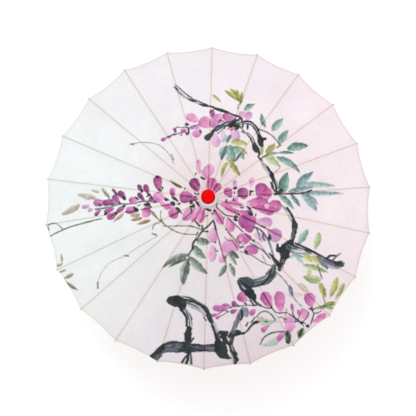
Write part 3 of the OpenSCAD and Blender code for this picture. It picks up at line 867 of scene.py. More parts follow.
        # the large knuckle and its forks
        self.strokes(
            Tone.INK, (0.95, 0.92, 0, 212, -94, 10, 204, -104, 20, 198, -116, 28, 196, -128, 22),
            (0.95, 0.92, 0, 204, -110, 20, 186, -118, 16, 178, -112, 8, 179, -104, 6),
            (0.8, 0.92, 0.3, 198, -128, 22, 192, -142, 15, 189, -154, 12, 184, -166, 8),
            (1, 0.92, 0, 176, -146, 6, 184, -156, 10, 190, -152, 8),
            (0.8, 0.92, 0, 158, -128, 4, 168, -138, 7, 180, -150, 6),
        )
        self.strokes(
            Tone.SLATE, (0.75, 0.9, 0.2, 170, -160, 10, 166, -176, 22, 152, -192, 22, 130, -200, 21, 108, -204, 22),
        )
        self.strokes(
            Tone.INK, (0.8, 0.92, 0.2, 164, -168, 3, 158, -184, 4, 142, -204, 4, 116, -212, 4, 92, -206, 4),
            (0.6, 0.7, 0.4, 172, -172, 4, 164, -184, 4, 148, -198, 3, 128, -204, 3),
        )
        self.strokes(Tone.SLATE, (0.9, 0.9, 0.25, 112, -202, 20, 94, -200, 20, 84, -198, 12))
        self.strokes(
            Tone.INK, (0.6, 0.8, 0.3, 120, -196, 4, 104, -190, 5, 88, -192, 6),
            (0.8, 0.92, 0.25, 88, -204, 16, 98, -216, 20, 112, -224, 18),
            (1, 0.92, 0, 104, -226, 16, 116, -232, 20, 122, -238, 12),
            (0.8, 0.92, 0.3, 118, -240, 7, 128, -250, 7, 138, -256, 6), (0.8, 0.92, 0, 112, -244, 4, 122, -256, 4),
        )
        # right branch with its grey mass
        self.strokes(Tone.SLATE, (0.3, 0.8, 0.3, 206, -108, 14, 224, -118, 16, 244, -120, 9, 262, -122, 6))
        self.strokes(
            Tone.INK, (0.6, 0.92, 0.3, 210, -102, 16, 224, -108, 9, 244, -112, 5, 262, -116, 5),
            (0.9, 0.92, 0, 224, -98, 5, 244, -106, 6, 268, -116, 6, 294, -128, 6, 318, -137, 6, 346, -144, 6),
        )
        self.strokes(
            Tone.SLATE, (0.3, 0.8, 0.35, 284, -126, 8, 298, -138, 22, 316, -146, 20, 334, -148, 16, 348, -142, 8),
            (0.9, 0.85, 0.3, 290, -128, 5, 306, -136, 8, 324, -142, 7, 344, -146, 9),
            (0.5, 0.8, 0, 296, -146, 10, 306, -154, 8),
        )
        self.strokes(
            Tone.INK, (0.6, 0.92, 0, 304, -132, 5, 312, -124, 6, 326, -122, 4),
            (0.4, 0.7, 0, 322, -132, 4, 332, -122, 4, 340, -116, 3), (0.5, 0.92, 0, 330, -142, 10, 342, -138, 9),
        )
        # lower left: the stump and its two arcs
        self.strokes(
            Tone.INK, (0.9, 0.92, 0, -88, -250, 20, -74, -252, 28, -62, -256, 26),
            (0.95, 0.92, 0, -72, -246, 16, -60, -258, 26, -58, -268, 12),
            (0.5, 0.92, 0.3, -62, -240, 4, -40, -243, 5, -18, -254, 5, 2, -266, 5, 8, -276, 5),
            (0.5, 0.92, 0.55, -56, -252, 14, -34, -256, 20, -12, -268, 18, 2, -282, 13),
            (0.95, 0.92, 0, -54, -248, 4, -30, -253, 5, -8, -264, 5, 8, -282, 9, 16, -300, 10),
            (0.55, 0.92, 0.5, 8, -286, 10, 20, -306, 13, 28, -326, 14, 34, -350, 15),
            (0.95, 0.92, 0, 14, -298, 4, 24, -322, 5, 32, -350, 6), (0.4, 0.92, 0, -4, -290, 3, 2, -298, 3),
            (0.4, 0.92, 0.5, -56, -270, 10, -44, -286, 14, -39, -304, 15, -39, -322, 15),
            (0.9, 0.92, 0, -62, -272, 6, -48, -290, 6, -46, -312, 5),
            (1, 0.92, 0, -40, -318, 13, -42, -336, 19, -42, -354, 14, -40, -368, 18),
            (0.8, 0.92, 0, -36, -352, 5, -28, -342, 4),
        )
        # lower left: the lying trunk
        self.strokes(
            Tone.SLATE, (0.8, 0.9, 0.1, -116, -376, 16, -92, -366, 24, -70, -364, 28, -46, -365, 26),
            (0.8, 0.9, 0.1, -46, -366, 26, -20, -366, 19, 6, -366, 17, 30, -364, 20),
        )
        self.strokes(
            Tone.INK, (0.85, 0.92, 0.3, -120, -372, 5, -96, -356, 6, -70, -352, 5, -40, -356, 5),
            (0.9, 0.92, 0.35, -60, -372, 12, -40, -366, 22, -16, -372, 8, 10, -372, 5),
            (0.9, 0.92, 0.2, -30, -358, 4, 0, -359, 4, 30, -357, 6),
            (0.85, 0.92, 0.2, -132, -392, 14, -118, -378, 13, -104, -368, 8),
        )
        self.strokes(Tone.SLATE, (0.6, 0.92, 0.3, -128, -398, 14, -112, -386, 12))
        self.strokes(
            Tone.INK, (1, 0.92, 0, 34, -352, 18, 42, -366, 32, 48, -380, 22, 64, -388, 6),
            (0.9, 0.92, 0.2, -42, -376, 12, -41, -390, 8, -44, -402, 8), (0.7, 0.92, 0, -44, -384, 4, -56, -402, 6),
        )
        self.strokes(Tone.SLATE, (0.7, 0.92, 0, -34, -380, 5, -32, -404, 6))
        # lower middle: knuckles, grey stroke and the dry twig
        self.strokes(
            Tone.INK, (1, 0.92, 0, 40, -326, 10, 50, -330, 14, 56, -326, 9),
            (0.9, 0.92, 0, 46, -334, 14, 54, -348, 12, 64, -354, 8),
            (1, 0.92, 0, 62, -334, 8, 74, -327, 16, 86, -326, 12),
        )
        self.strokes(Tone.SLATE, (0.45, 0.92, 0.3, 72, -322, 12, 78, -304, 12, 86, -286, 12, 90, -272, 12))
        self.strokes(
            Tone.INK, (0.9, 0.92, 0, 92, -270, 4, 94, -284, 5, 90, -294, 4),
            (0.6, 0.92, 0.35, 70, -336, 10, 66, -352, 12, 70, -368, 12, 76, -384, 18, 78, -400, 12),
            (1, 0.92, 0, 74, -376, 6, 84, -392, 8),
            (0.9, 0.92, 0.2, 84, -328, 7, 100, -326, 4, 110, -316, 5, 120, -304, 5, 136, -296, 4),
            (0.7, 0.92, 0, 104, -308, 4, 108, -300, 3), (0.5, 0.92, 0, 116, -300, 3, 126, -286, 3),
            (0.9, 0.92, 0, 122, -300, 4, 130, -296, 6),
        )

    def compose(self) -> list[Stroke | Leaf | Petal]:
        """Every mark, motif by motif, in the order of painting."""
        self.pale_washes()
        self.leaves()
        self.upper_raceme()
        self.left_raceme()
        self.crown_petals()
        self.right_petals()
        self.vines()
        self.lower_raceme()
        self.branches()
        return self.marks


@dataclass(frozen=True)
class Ground:
    """The sheet's own tint: near white with mint at the left, pale pink at the right, greyer below."""

    washes: tuple[tuple[float, float, float, Colour], ...] = (
        (0, 0, 70, (238, 222, 226)),
        (-60, 60, 70, (240, 230, 232)),
        (80, 30, 80, (238, 222, 226)),
        (0, 350, 110, (244, 239, 246)),
        (230, 260, 160, (249, 238, 244)),
        (360, 40, 150, (250, 238, 244)),
        (260, -40, 120, (246, 236, 238)),
        (-60, 360, 120, (243, 239, 243)),
        (-230, 250, 150, (243, 242, 245)),
        (-330, 80, 150, (244, 250, 250)),
        (-330, -80, 160, (242, 249, 248)),
        (-220, -180, 120, (243, 244, 245)),
        (-150, -300, 120, (236, 232, 236)),
        (-60, -200, 90, (234, 230, 232)),
        (0, -320, 100, (229, 221, 227)),
        (60, -390, 90, (226, 212, 218)),
        (150, -180, 110, (238, 230, 234)),
        (220, -300, 110, (232, 218, 224)),
    )

    def tint(self, x: np.ndarray, y: np.ndarray) -> np.ndarray:
        """The bare sheet's display colours.

        Args:
            x: plan places to the right, in millimetres.
            y: plan places towards rib 1.

        Returns:
            One row of display colour for each place.
        """
        total = np.zeros((len(x), 3))
        weight = np.zeros(len(x))
        for cx, cy, reach, colour in self.washes:
            w = np.exp(-((x - cx) ** 2 + (y - cy) ** 2) / (1.3 * reach) ** 2) + 1e-6
            total += w[:, None] * np.array(colour)
            weight += w
        cloud = 5 * (MOTTLE.at(x / 60 + 9, y / 60) + 0.5 * MOTTLE.at(x / 23, y / 23 + 5) - 0.75)
        cloud += 5 * (MOTTLE.at(x / 4 + 33, y / 4) - 0.5)
        return total / weight[:, None] + cloud[:, None]


@dataclass(frozen=True)
class PaintedSheet:
    """Colours the sheet: ground, painting, the ribs' lines that show through, and the hem. The ribs' lines are partly
    glue and partly painted shade of the ribs under the sheet.
    """

    rib_line: float = 1.7
    hem_width: float = 5.0
    # how the ribs' lines darken the sheet: partly glue, partly painted shade of the ribs seen through it
    rib_warm: Colour = (0.95, 0.88, 0.825)
    rib_cool: Colour = (0.90, 0.885, 0.86)
    rib_painted: Colour = (0.84, 0.68, 0.76)
    hem_cream: Colour = (0.985, 0.975, 0.92)
    hem_peach: Colour = (0.985, 0.925, 0.895)

    def colours(self, x: np.ndarray, y: np.ndarray, off_rib: np.ndarray, to_rim: np.ndarray) -> np.ndarray:
        """Display colours on the sheet.

        Args:
            x: plan places to the right, in millimetres.
            y: plan places towards rib 1, in millimetres.
            off_rib: distance from the nearest rib's middle line, in millimetres.
            to_rim: distance in from the rim, in millimetres.

        Returns:
            One row of display colour for each place.
        """
        ground = Ground().tint(x, y)
        paint = Paint(x, y, ground)
        for mark in Wisteria().compose():
            mark.draw(paint)
        colour = paint.colour
        # the ribs' lines: partly glue, partly painted shade of the ribs under the sheet, deeper over the painting and
        # cooler at the left
        painted = ramp(12, 90, np.abs(ground - colour).max(1))[:, None]
        cool = ramp(-60, -260, x)[:, None] * ramp(-260, -120, y)[:, None]
        bare = np.array(self.rib_warm) * (1 - cool) + np.array(self.rib_cool) * cool
        through = bare * (1 - painted) + np.array(self.rib_painted) * painted
        patch = 0.75 + 0.4 * MOTTLE.at(x / 16, y / 16 + 40)
        rib = (ramp(self.rib_line + 0.8, self.rib_line - 0.9, off_rib) * np.clip(patch, 0, 1))[:, None]
        colour = colour * (1 - rib + rib * through)
        left = ramp(-40, -220, x)[:, None]
        hem = (ramp(self.hem_width, self.hem_width - 2.5, to_rim) * 0.8)[:, None]
        folded = np.array(self.hem_peach) * (1 - left) + np.array(self.hem_cream) * left
        return np.clip(colour * (1 - hem + hem * folded), 0, 255)


# ---------------------------------------------------------------- the linkage's directions


@dataclass(frozen=True)
class Rib:
    """One rib's place, as the frame has it: ribs hang on a ring under the collar and slope down to the rim."""

    index: int

    COUNT = 22
    STEP = math.tau / COUNT
    DROP = math.radians(16.5)
    HINGE_R = 17.0 * MM
    HINGE_Z = 520.0 * MM

    @property
    def body(self) -> str:
        """The CAD body's name."""
        return f"rib_{self.index:02d}"

    @property
    def joint(self) -> str:
        """The joint that folds the rib."""
        return "fold" if self.index == 1 else f"{self.body}_hinge"

    @property
    def turn(self) -> Matrix:
        """The turn about the shaft from rib 1's place to this rib's."""
        return Matrix.Rotation(-(self.index - 1) * self.STEP, 3, "Z")

    @classmethod
    def every(cls) -> Iterable[Rib]:
        """Every rib in order."""
        return (cls(k) for k in range(1, cls.COUNT + 1))

    @classmethod
    def out(cls, along: np.ndarray | float, lift: float) -> np.ndarray | float:
        """How far from the shaft's axis a point is, along a rib from its hinge and lift above its middle line."""
        return cls.HINGE_R + along * math.cos(cls.DROP) + lift * math.sin(cls.DROP)

    @classmethod
    def up(cls, along: np.ndarray | float, lift: float) -> np.ndarray | float:
        """How high such a point is."""
        return cls.HINGE_Z - along * math.sin(cls.DROP) + lift * math.cos(cls.DROP)


# ---------------------------------------------------------------- making meshes


def put(name: str, data: bpy.types.ID) -> bpy.types.Object:
    """Adds an object to the scene.

    Args:
        name: the object's name.
        data: its mesh, curve, light or camera.

    Returns:
        The object.
    """
    piece = bpy.data.objects.new(name, data)
    bpy.context.collection.objects.link(piece)
    return piece


def made(bm: bmesh.types.BMesh, name: str) -> bpy.types.Mesh:
    """Turns a bmesh into a mesh whose faces are all smooth.

    Args:
        bm: the bmesh, which is freed.
        name: the mesh's name.

    Returns:
        The mesh.
    """
    mesh = bpy.data.meshes.new(name)
    bm.to_mesh(mesh)
    bm.free()
    mesh.polygons.foreach_set("use_smooth", np.ones(len(mesh.polygons), dtype=bool))
    return mesh


def spin(bm: bmesh.types.BMesh, outline: Sequence[Point], closed: bool, steps: int) -> None:
    """Turns a half outline of (radius, height) in metres once round the shaft's axis.

    Args:
        bm: the bmesh that it is made in.
        outline: its points in order.
        closed: whether the last point joins the first.
        steps: how many flats it has.
    """
    verts = [bm.verts.new((0, r, z)) for r, z in outline]
    pairs = list(zip(verts, verts[1:])) + ([(verts[-1], verts[0])] if closed else [])
    edges = [bm.edges.new(pair) for pair in pairs]
    bmesh.ops.spin(
        bm, geom=[*verts, *edges], axis=(0, 0, 1), cent=(0, 0, 0), angle=math.tau, steps=steps, use_merge=True
    )


# ---------------------------------------------------------------- the sheet


@dataclass
class Patch:
    """A piece of the sheet in its place, waiting for its paint."""

    piece: bpy.types.Object
    points: np.ndarray
    along: np.ndarray


@dataclass(frozen=True)
class Lattice:
    """A flat lattice of square cells: how far along the rib, and how far across from 0 to 1."""

    mesh: bpy.types.Mesh
    along: np.ndarray
    across: np.ndarray


class Side(Enum):
    """The two sides of a rib, seen from above."""

    AFTER = 1
    BEFORE = -1

    @property
    def suffix(self) -> str:
        """The piece name's last letter."""
        return "a" if self is Side.AFTER else "b"


@dataclass
class Canopy:
    """The painted sheet: half gores that ride on their ribs, strips glued on the ribs, and the hem."""

    outside: Material
    inside: Material
    cell: float = 1.6 * MM
    strip_cell: float = 1.1 * MM
    start: float = 2.0 * MM
    rim: float = 416.5 * MM
    edge: float = 2.2 * MM
    face: float = 3.62 * MM
    thick: float = 0.36 * MM
    hem_from: float = rim - 4.6 * MM
    hem_to: float = rim + 0.5 * MM
    hem_thick: float = 0.8 * MM
    hem_face: float = face + 0.22 * MM
    tip_thick: float = 0.5 * MM
    tip_face: float = face + 0.2 * MM
    sag: float = 3.0 * MM
    inset: float = 3.5 * MM
    crinkle: float = 0.45 * MM
    crinkle_broad: float = 24 * MM
    crinkle_fine: float = 9 * MM
    pleat_tilt: float = math.radians(12.7)
    pleat_keep: float = 0.01
    crown_steps: int = 132
    whiteness: float = 0.87
    half: float = Rib.STEP / 2
    patches: list[Patch] = field(default_factory=list)

    def width(self, along: np.ndarray | float) -> np.ndarray | float:
        """A half gore's flat width, from the strip's edge to the gore's middle."""
        return Rib.out(along, self.face) * math.sin(self.half) - self.edge * math.cos(self.half)

    def lattice(self, name: str, start: float, end: float, wide: float, cell: float, side: Side, gore: bool) -> Lattice:
        """Makes a flat lattice, cut along the gore's middle if asked.

        Args:
            name: the mesh's name.
            start: where it starts along the rib.
            end: where it ends along the rib.
            wide: its width at its end.
            cell: the cells' size.
            side: which way up its faces are.
            gore: whether it is cut to the gore's wedge.

        Returns:
            The lattice, with its places along and across.
        """
        bm = bmesh.new()
        rows, columns = max(1, round((end - start) / cell)), max(1, round(wide / cell))
        bmesh.ops.create_grid(bm, x_segments=rows, y_segments=columns, size=0.5)
        bmesh.ops.scale(bm, vec=(end - start, wide, 1), verts=bm.verts)
        bmesh.ops.translate(bm, vec=((start + end) / 2, wide / 2, 0), verts=bm.verts)
        if gore:
            near = Vector((start, self.width(start), 0))
            run = Vector((end, self.width(end), 0)) - near
            bmesh.ops.bisect_plane(
                bm,
                geom=[*bm.verts, *bm.edges, *bm.faces],
                dist=1e-7,
                plane_co=near,
                plane_no=Vector((-run.y, run.x, 0)),
                clear_outer=True,
            )
        if side is Side.AFTER:
            bmesh.ops.reverse_faces(bm, faces=bm.faces)
        for edge in bm.edges:
            edge.smooth = not edge.is_boundary
        mesh = made(bm, name)
        flat = np.empty(len(mesh.vertices) * 3)
        mesh.vertices.foreach_get("co", flat)
        along, across = flat.reshape(-1, 3).T[:2]
        full = self.width(along) if gore else wide
        return Lattice(mesh, along.copy(), np.clip(across / full, 0, 1))

    def half_gore(self, rib: Rib, side: Side, flat: Lattice, lift: float) -> np.ndarray:
        """Maps a lattice onto half a gore: it sags, its rim curves in, and it is slightly crinkled.

        Args:
            rib: the rib that it rides on.
            side: which side of the rib.
            flat: the lattice.
            lift: height above the line of hinges.

        Returns:
            The points, one a row.
        """
        s, u = flat.along, flat.across
        sin, cos = math.sin(self.half), math.cos(self.half)
        out = Rib.out(s, lift)
        share = s / self.rim
        ease = 2 * u - u**2
        reach = out * cos
        inset = ease * self.inset * share**3
        x = self.edge + (reach * sin - self.edge) * u - inset * sin
        y = out + (reach * cos - out) * u - inset * cos
        z = Rib.up(s, lift) - ease * self.sag * share
        points = np.stack([side.value * x, y, z], axis=1) @ np.array(rib.turn).T
        broad = MOTTLE.at(points[:, 0] / self.crinkle_broad + 40, points[:, 1] / self.crinkle_broad + 40)
        fine = MOTTLE.at(points[:, 0] / self.crinkle_fine + 80, points[:, 1] / self.crinkle_fine + 80)
        points[:, 2] += self.crinkle * np.sin(np.pi * u) ** 2 * share * (2 * broad + 0.5 * fine - 1.25)
        return points

    def strip(self, rib: Rib, flat: Lattice, lift: float) -> np.ndarray:
        """Maps a lattice onto the strip that is glued along a rib.

        Args:
            rib: the rib.
            flat: the lattice.
            lift: height above the line of hinges.

        Returns:
            The points, one a row.
        """
        s = flat.along
        x = self.edge * (2 * flat.across - 1)
        return np.stack([x, Rib.out(s, lift), Rib.up(s, lift)], axis=1) @ np.array(rib.turn).T

    def add(self, name: str, flat: Lattice, points: np.ndarray, thick: float, body: str) -> bpy.types.Object:
        """Adds one piece of the sheet.

        Args:
            name: the piece's name.
            flat: the lattice that it is made from.
            points: where its points go.
            thick: its thickness, downwards from the points.
            body: the CAD body that it rides on.

        Returns:
            The piece.
        """
        mesh = flat.mesh.copy()
        mesh.name = name
        mesh.vertices.foreach_set("co", points.ravel())
        mesh.update()
        mesh.materials.append(self.outside)
        mesh.materials.append(self.inside)
        piece = put(name, mesh)
        shell = piece.modifiers.new("paper", "SOLIDIFY")
        shell.thickness = thick
        shell.offset = -1
        shell.material_offset = 1
        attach(piece, body)
        self.patches.append(Patch(piece, points, flat.along))
        return piece

    def pleat(self, piece: bpy.types.Object, rib: Rib, side: Side) -> None:
        """Gives a half gore its own copy of its mesh; the foot of its edge on the rib that it works out is not used.

        Args:
            piece: the half gore, or its hem.
            rib: the rib that it rides on.
            side: which side of the rib.
        """
        foot = rib.turn @ Vector((side.value * self.edge, Rib.out(0, self.face), Rib.up(0, self.face)))
        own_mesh(piece)

    def crown(self) -> None:
        """Adds the sheet's gathered middle, under the collar, which stands for the CAD sheet."""
        bm = bmesh.new()
        inner, outer, drop = -3 * MM, 2.5 * MM, 0.4 * MM
        high = Rib.HINGE_Z + (self.face - drop) * math.cos(Rib.DROP)
        edge = ((Rib.out(inner, 0), high + drop), (Rib.out(outer, 0), high - outer * math.sin(Rib.DROP)))
        spin(bm, edge, False, self.crown_steps)
        bmesh.ops.recalc_face_normals(bm, faces=bm.faces)
        if sum(f.normal.z for f in bm.faces) < 0:
            bmesh.ops.reverse_faces(bm, faces=bm.faces)
        mesh = made(bm, "crown")
        points = np.array([v.co for v in mesh.vertices])
        along = (np.hypot(points[:, 0], points[:, 1]) - Rib.HINGE_R) / math.cos(Rib.DROP)
        piece = self.add("crown", Lattice(mesh, along, along), points, self.thick, "stick")
        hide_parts("canopy")

    def build(self) -> None:
        wide = self.width(self.rim)
        whole, rim = (self.start, self.rim), (self.hem_from, self.hem_to)
        gores = {s: self.lattice("gore", *whole, wide, self.cell, s, True) for s in Side}
        hems = {s: self.lattice("hem", *rim, wide, self.cell, s, False) for s in Side}
        strip = self.lattice("strip", *whole, 2 * self.edge, self.strip_cell, Side.AFTER, False)
        cap = self.lattice("strip_hem", *rim, 2 * self.edge, self.strip_cell, Side.AFTER, False)
        length = self.rim - self.start
        area = length * (self.width(self.start) + wide) / 2
        for rib in Rib.every():
            k = f"{rib.index:02d}"
            on_rib = self.add(f"strip_{k}", strip, self.strip(rib, strip, self.face), self.thick, rib.body)
            on_tip = self.add(f"strip_hem_{k}", cap, self.strip(rib, cap, self.tip_face), self.tip_thick, rib.body)
            for side in Side:
                name = f"{k}{side.suffix}"
                points = self.half_gore(rib, side, gores[side], self.face)
                gore = self.add(f"gore_{name}", gores[side], points, self.thick, rib.body)
                points = self.half_gore(rib, side, hems[side], self.hem_face)
                hem = self.add(f"hem_{name}", hems[side], points, self.hem_thick, rib.body)
                self.pleat(gore, rib, side)
                self.pleat(hem, rib, side)
        self.crown()
        self.paint()
        LOG.info("sheet: %d pieces", len(self.patches))

    def paint(self) -> None:
        """Computes the painting once over every piece's points and stores it on them."""
        points = np.vstack([p.points for p in self.patches]) / MM
        along = np.concatenate([p.along for p in self.patches])
        x, y = points[:, 0], points[:, 1]
        azimuth = np.arctan2(x, y)
        off = azimuth - np.round(azimuth / Rib.STEP) * Rib.STEP
        off_rib = np.hypot(x, y) * np.abs(np.sin(off))
        colours = self.whiteness * linear(PaintedSheet().colours(x, y, off_rib, (self.rim - along) / MM))
        rgba = np.hstack([colours, np.ones((len(colours), 1))]).astype(np.float32)
        start = 0
        for patch in self.patches:
            mesh = patch.piece.data
            end = start + len(patch.points)
            attribute = mesh.attributes.new("painted", "FLOAT_COLOR", "POINT")
            attribute.data.foreach_set("color", rgba[start:end].ravel())
            start = end


# ---------------------------------------------------------------- turned pieces


@dataclass(frozen=True)
class Turned:
    """A turned piece that stands for a CAD node: its half outline as (radius, height), spun about the shaft."""

    name: str
    node: str
    slot: str
    outline: tuple[Point, ...]
    round_off: float = 0.0

    STEPS = 96
    SHARP = math.radians(38)
    CREASE = math.radians(50)

    def build(self, body: str, material: Material) -> None:
        """Makes the piece.

        Args:
            body: the CAD body that it rides on.
            material: its look.
        """
        bm = bmesh.new()
        closed = self.outline[0][0] > 0 and self.outline[-1][0] > 0
        spin(bm, [(r * MM, z * MM) for r, z in self.outline], closed, self.STEPS)
        bmesh.ops.remove_doubles(bm, verts=bm.verts, dist=1e-6)
        bmesh.ops.recalc_face_normals(bm, faces=bm.faces)
        if self.round_off:
            sharp = [e for e in bm.edges if e.is_manifold and e.calc_face_angle(0) > self.SHARP]
            bmesh.ops.bevel(
                bm, geom=sharp, offset=self.round_off * MM, segments=3, profile=0.5, affect="EDGES", material=-1
            )
        mesh = made(bm, self.name)
        mesh.set_sharp_from_angle(angle=self.CREASE)
        mesh.materials.append(material)
        piece = put(self.name, mesh)
        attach(piece, body)
        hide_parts(self.node)
        LOG.info("%s stands for %s", self.name, self.node)


KNOB = Turned(
    "knob",
    "red_knob",
    "knob",
    (
        (0, 560.8), (5, 560.7), (9.5, 560.2), (13, 559.1), (15.6, 557.4), (17.2, 555.2), (18.0, 552.5), (18.2, 549.5),
        (18.2, 545.5), (17.9, 543.5), (17.2, 542.3), (16.4, 542), (7.6, 542), (7.6, 551.9), (0, 551.9),
    ),
)
COLLAR = Turned(
    "collar",
    "cap_collar",
    "collar",
    (
        (21.3, 522.5), (22.3, 522.5), (22.5, 523.2), (22.4, 524.4), (22.1, 526.4), (21.5, 529.6), (20.7, 533.2),
        (19.9, 537.6), (19.2, 540.6), (18.3, 541.95), (7.6, 541.95), (7.6, 540.4), (16, 540.2), (17.6, 537.4),
        (19.2, 532.4), (20.6, 526.6),
    ),
    0.25,
)
GRIP = Turned(
    "handle",
    "grip",
    "grip_wood",
    (
        (7.6, 8.02), (7.6, 84), (8.9, 84), (9.8, 83), (10.5, 81.2), (10.5, 76.1), (11.3, 74), (12.2, 71.2),
        (12.8, 68.6), (13, 66), (13, 9.2), (12.5, 7.2), (11.2, 6.02), (0, 6.02), (0, 8.02),
    ),
    0.3,
)
RING = Turned(
    "handle_ring",
    "grip_ring",
    "ferrule",
    ((10.55, 76), (12.1, 76), (12.55, 76.5), (12.7, 78), (12.55, 79.5), (12.1, 80), (10.55, 80)),
    0.15,
)
END_CAP = Turned(
    "handle_end",
    "end_cap",
    "lacquer",
    ((0, 0), (10.4, 0), (11.8, 0.7), (12.5, 2), (12.6, 3.2), (12.1, 4.8), (11.1, 6), (0, 6)),
    0.3,
)


@dataclass(frozen=True)
class Lashing:
    """Turns of thread round a rib, either side of the slot that its strut folds into."""

    letter: str
    along: float
    turns: int = 4
    pitch: float = 0.95 * MM
    thread: float = 0.42 * MM
    half: float = 2.35 * MM
    top: float = 3.05 * MM
    low: float = -3.8 * MM

    def build(self, rib: Rib, material: Material) -> None:
        """Makes the turns as one piece that rides on the rib.

        Args:
            rib: the rib that they go round.
            material: the thread's look.
        """
        name = f"lashing_{rib.index:02d}_{self.letter}"
        curve = bpy.data.curves.new(name, "CURVE")
        curve.dimensions = "3D"
        curve.bevel_depth = self.thread
        curve.bevel_resolution = curve.resolution_u = 2
        curve.use_fill_caps = True
        corners = [(self.half, self.top), (self.half, self.low), (-self.half, self.low), (-self.half, self.top)]
        spline = curve.splines.new("POLY")
        count = self.turns * len(corners)
        spline.points.add(count)
        for i in range(count + 1):
            across, lift = corners[i % len(corners)]
            s = self.along + (i / len(corners) - self.turns / 2) * self.pitch
            spline.points[i].co = (*(rib.turn @ Vector((across, Rib.out(s, lift), Rib.up(s, lift)))), 1)
        curve.materials.append(material)
        piece = put(name, curve)
        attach(piece, rib.body)


# ---------------------------------------------------------------- shaders


def display(*colour: float) -> tuple[float, float, float, float]:
    """A display colour from 0 to 255 as a scene-linear colour with full alpha."""
    return (*(float(c) for c in linear(colour)), 1.0)


class Nodes:
    """A shader tree, with short ways to add nodes to it."""

    def __init__(self, tree: bpy.types.NodeTree) -> None:
        """Keeps the tree.

        Args:
            tree: where the nodes go.
        """
        self.tree = tree

    def join(self, value: object, socket: Socket) -> None:
        """Feeds a socket from another one, or sets its plain value."""
        if isinstance(value, Socket):
            self.tree.links.new(value, socket)
        else:
            socket.default_value = value

    def node(self, kind: str, inputs: dict | None = None, **settings: object) -> bpy.types.Node:
        """Adds a shader node, sets it up and joins it.

        Args:
            kind: the node's type, without its ShaderNode prefix.
            inputs: socket name or number to a value or to the socket that feeds it.
            settings: the node's own settings.

        Returns:
            The node.
        """
        node = self.tree.nodes.new(f"ShaderNode{kind}")
        for key, value in settings.items():
            setattr(node, key, value)
        for key, value in (inputs or {}).items():
            self.join(value, node.inputs[key])
        return node

    @property
    def place(self) -> Socket:
        """The piece's own coordinates."""
        return self.node("TexCoord").outputs["Object"]

    def split(self) -> Sequence[Socket]:
        """The piece's own coordinates one by one."""
        return self.node("SeparateXYZ", {0: self.place}).outputs

    def math(self, operation: str, *values: object) -> Socket:
        """A Math node's result."""
        return self.node("Math", dict(enumerate(values)), operation=operation).outputs[0]

    def times(self, a: object, b: object) -> Socket:
        """The product of two values."""
        return self.math("MULTIPLY", a, b)

    def scaled(self, *parts: tuple[object, float]) -> Socket:
        """A place whose coordinates are each a value times a factor."""
        return self.node("CombineXYZ", {i: self.times(*pair) for i, pair in enumerate(parts)}).outputs[0]

    def noise(self, place: Socket, scale: float, detail: float = 3.0) -> Socket:
        """A noise value at a place."""
        return self.node("TexNoise", {"Vector": place, "Scale": scale, "Detail": detail}).outputs[0]

    def span(self, value: object, low: float, high: float, to_low: float, to_high: float) -> Socket:
        """A value mapped from one range to another and kept within it."""
        return self.node("MapRange", {0: value, 1: low, 2: high, 3: to_low, 4: to_high}).outputs[0]

    def mix(self, share: object, a: object, b: object, blend: str = "MIX") -> Socket:
        """Two colours mixed."""
        return self.node("MixRGB", {0: share, 1: a, 2: b}, blend_type=blend).outputs[0]


class Group(Nodes):
    """A node group that several materials share, with values in and values out."""

    def __init__(self, name: str, inputs: dict[str, float], outputs: Sequence[str]) -> None:
        """Opens the group.

        Args:
            name: its name.
            inputs: its value inputs and their defaults.
            outputs: its value outputs.
        """
        super().__init__(bpy.data.node_groups.new(name, "ShaderNodeTree"))
        for key, value in inputs.items():
            socket = self.tree.interface.new_socket(key, in_out="INPUT", socket_type="NodeSocketFloat")
            socket.default_value = value
        for key in outputs:
            self.tree.interface.new_socket(key, in_out="OUTPUT", socket_type="NodeSocketFloat")
        self.start = self.tree.nodes.new("NodeGroupInput") if inputs else None
        self.end = self.tree.nodes.new("NodeGroupOutput")

    def give(self, name: str, value: Socket) -> None:
        """Joins a value to an output."""
        self.join(value, self.end.inputs[name])


def bamboo_fibres() -> Group:
    """Long fibres along every rib or strut at once, in coordinates that follow the slope: Drop is the slope down."""
    g = Group("bamboo_fibres", {"Drop": Rib.DROP}, ("Fibre", "Patch", "Knuckle"))
    x, y, z = g.split()
    out = g.math("SQRT", g.math("ADD", g.times(x, x), g.times(y, y)))
    azimuth = g.math("ARCTAN2", x, y)
    across = g.times(out, g.math("DIVIDE", g.math("SINE", g.times(azimuth, Rib.COUNT)), Rib.COUNT))
    number = g.math("ROUND", g.math("DIVIDE", azimuth, Rib.STEP))
    drop = g.start.outputs["Drop"]
    cos, sin = g.math("COSINE", drop), g.math("SINE", drop)
    along = g.math("SUBTRACT", g.times(out, cos), g.times(z, sin))
    down = g.math("ADD", g.times(out, sin), g.times(z, cos))
    own = g.math("MULTIPLY_ADD", number, 7.3, along)
    g.give("Fibre", g.noise(g.scaled((own, 9.0), (across, 1500.0), (down, 1100.0)), 1.0, 4.0))
    g.give("Patch", g.noise(g.scaled((own, 14.0), (across, 160.0), (down, 120.0)), 1.0, 2.0))
    lean = g.math("MULTIPLY_ADD", g.math("SINE", g.times(number, 2.4)), 0.004, along)
    near = g.math("ABSOLUTE", g.math("SUBTRACT", g.math("PINGPONG", lean, 0.083), 0.041))
    g.give("Knuckle", g.span(near, 0.0005, 0.0022, 1.0, 0.0))
    return g


def long_grain() -> Group:
    """Upright wood grain. Fineness is the number of streaks a metre across the grain."""
    g = Group("long_grain", {"Fineness": 300.0}, ("Streak", "Pore"))
    x, y, z = g.split()
    fine = g.start.outputs["Fineness"]
    wander = g.math("MULTIPLY_ADD", g.noise(g.place, 18.0, 1.0), 0.004, x)
    g.give("Streak", g.noise(g.scaled((wander, fine), (y, fine), (z, 9.0)), 1.0, 4.0))
    pore = g.noise(g.scaled((x, 2600.0), (y, 2600.0), (z, 120.0)), 1.0, 2.0)
    g.give("Pore", g.span(pore, 0.62, 0.7, 0.0, 1.0))
    return g


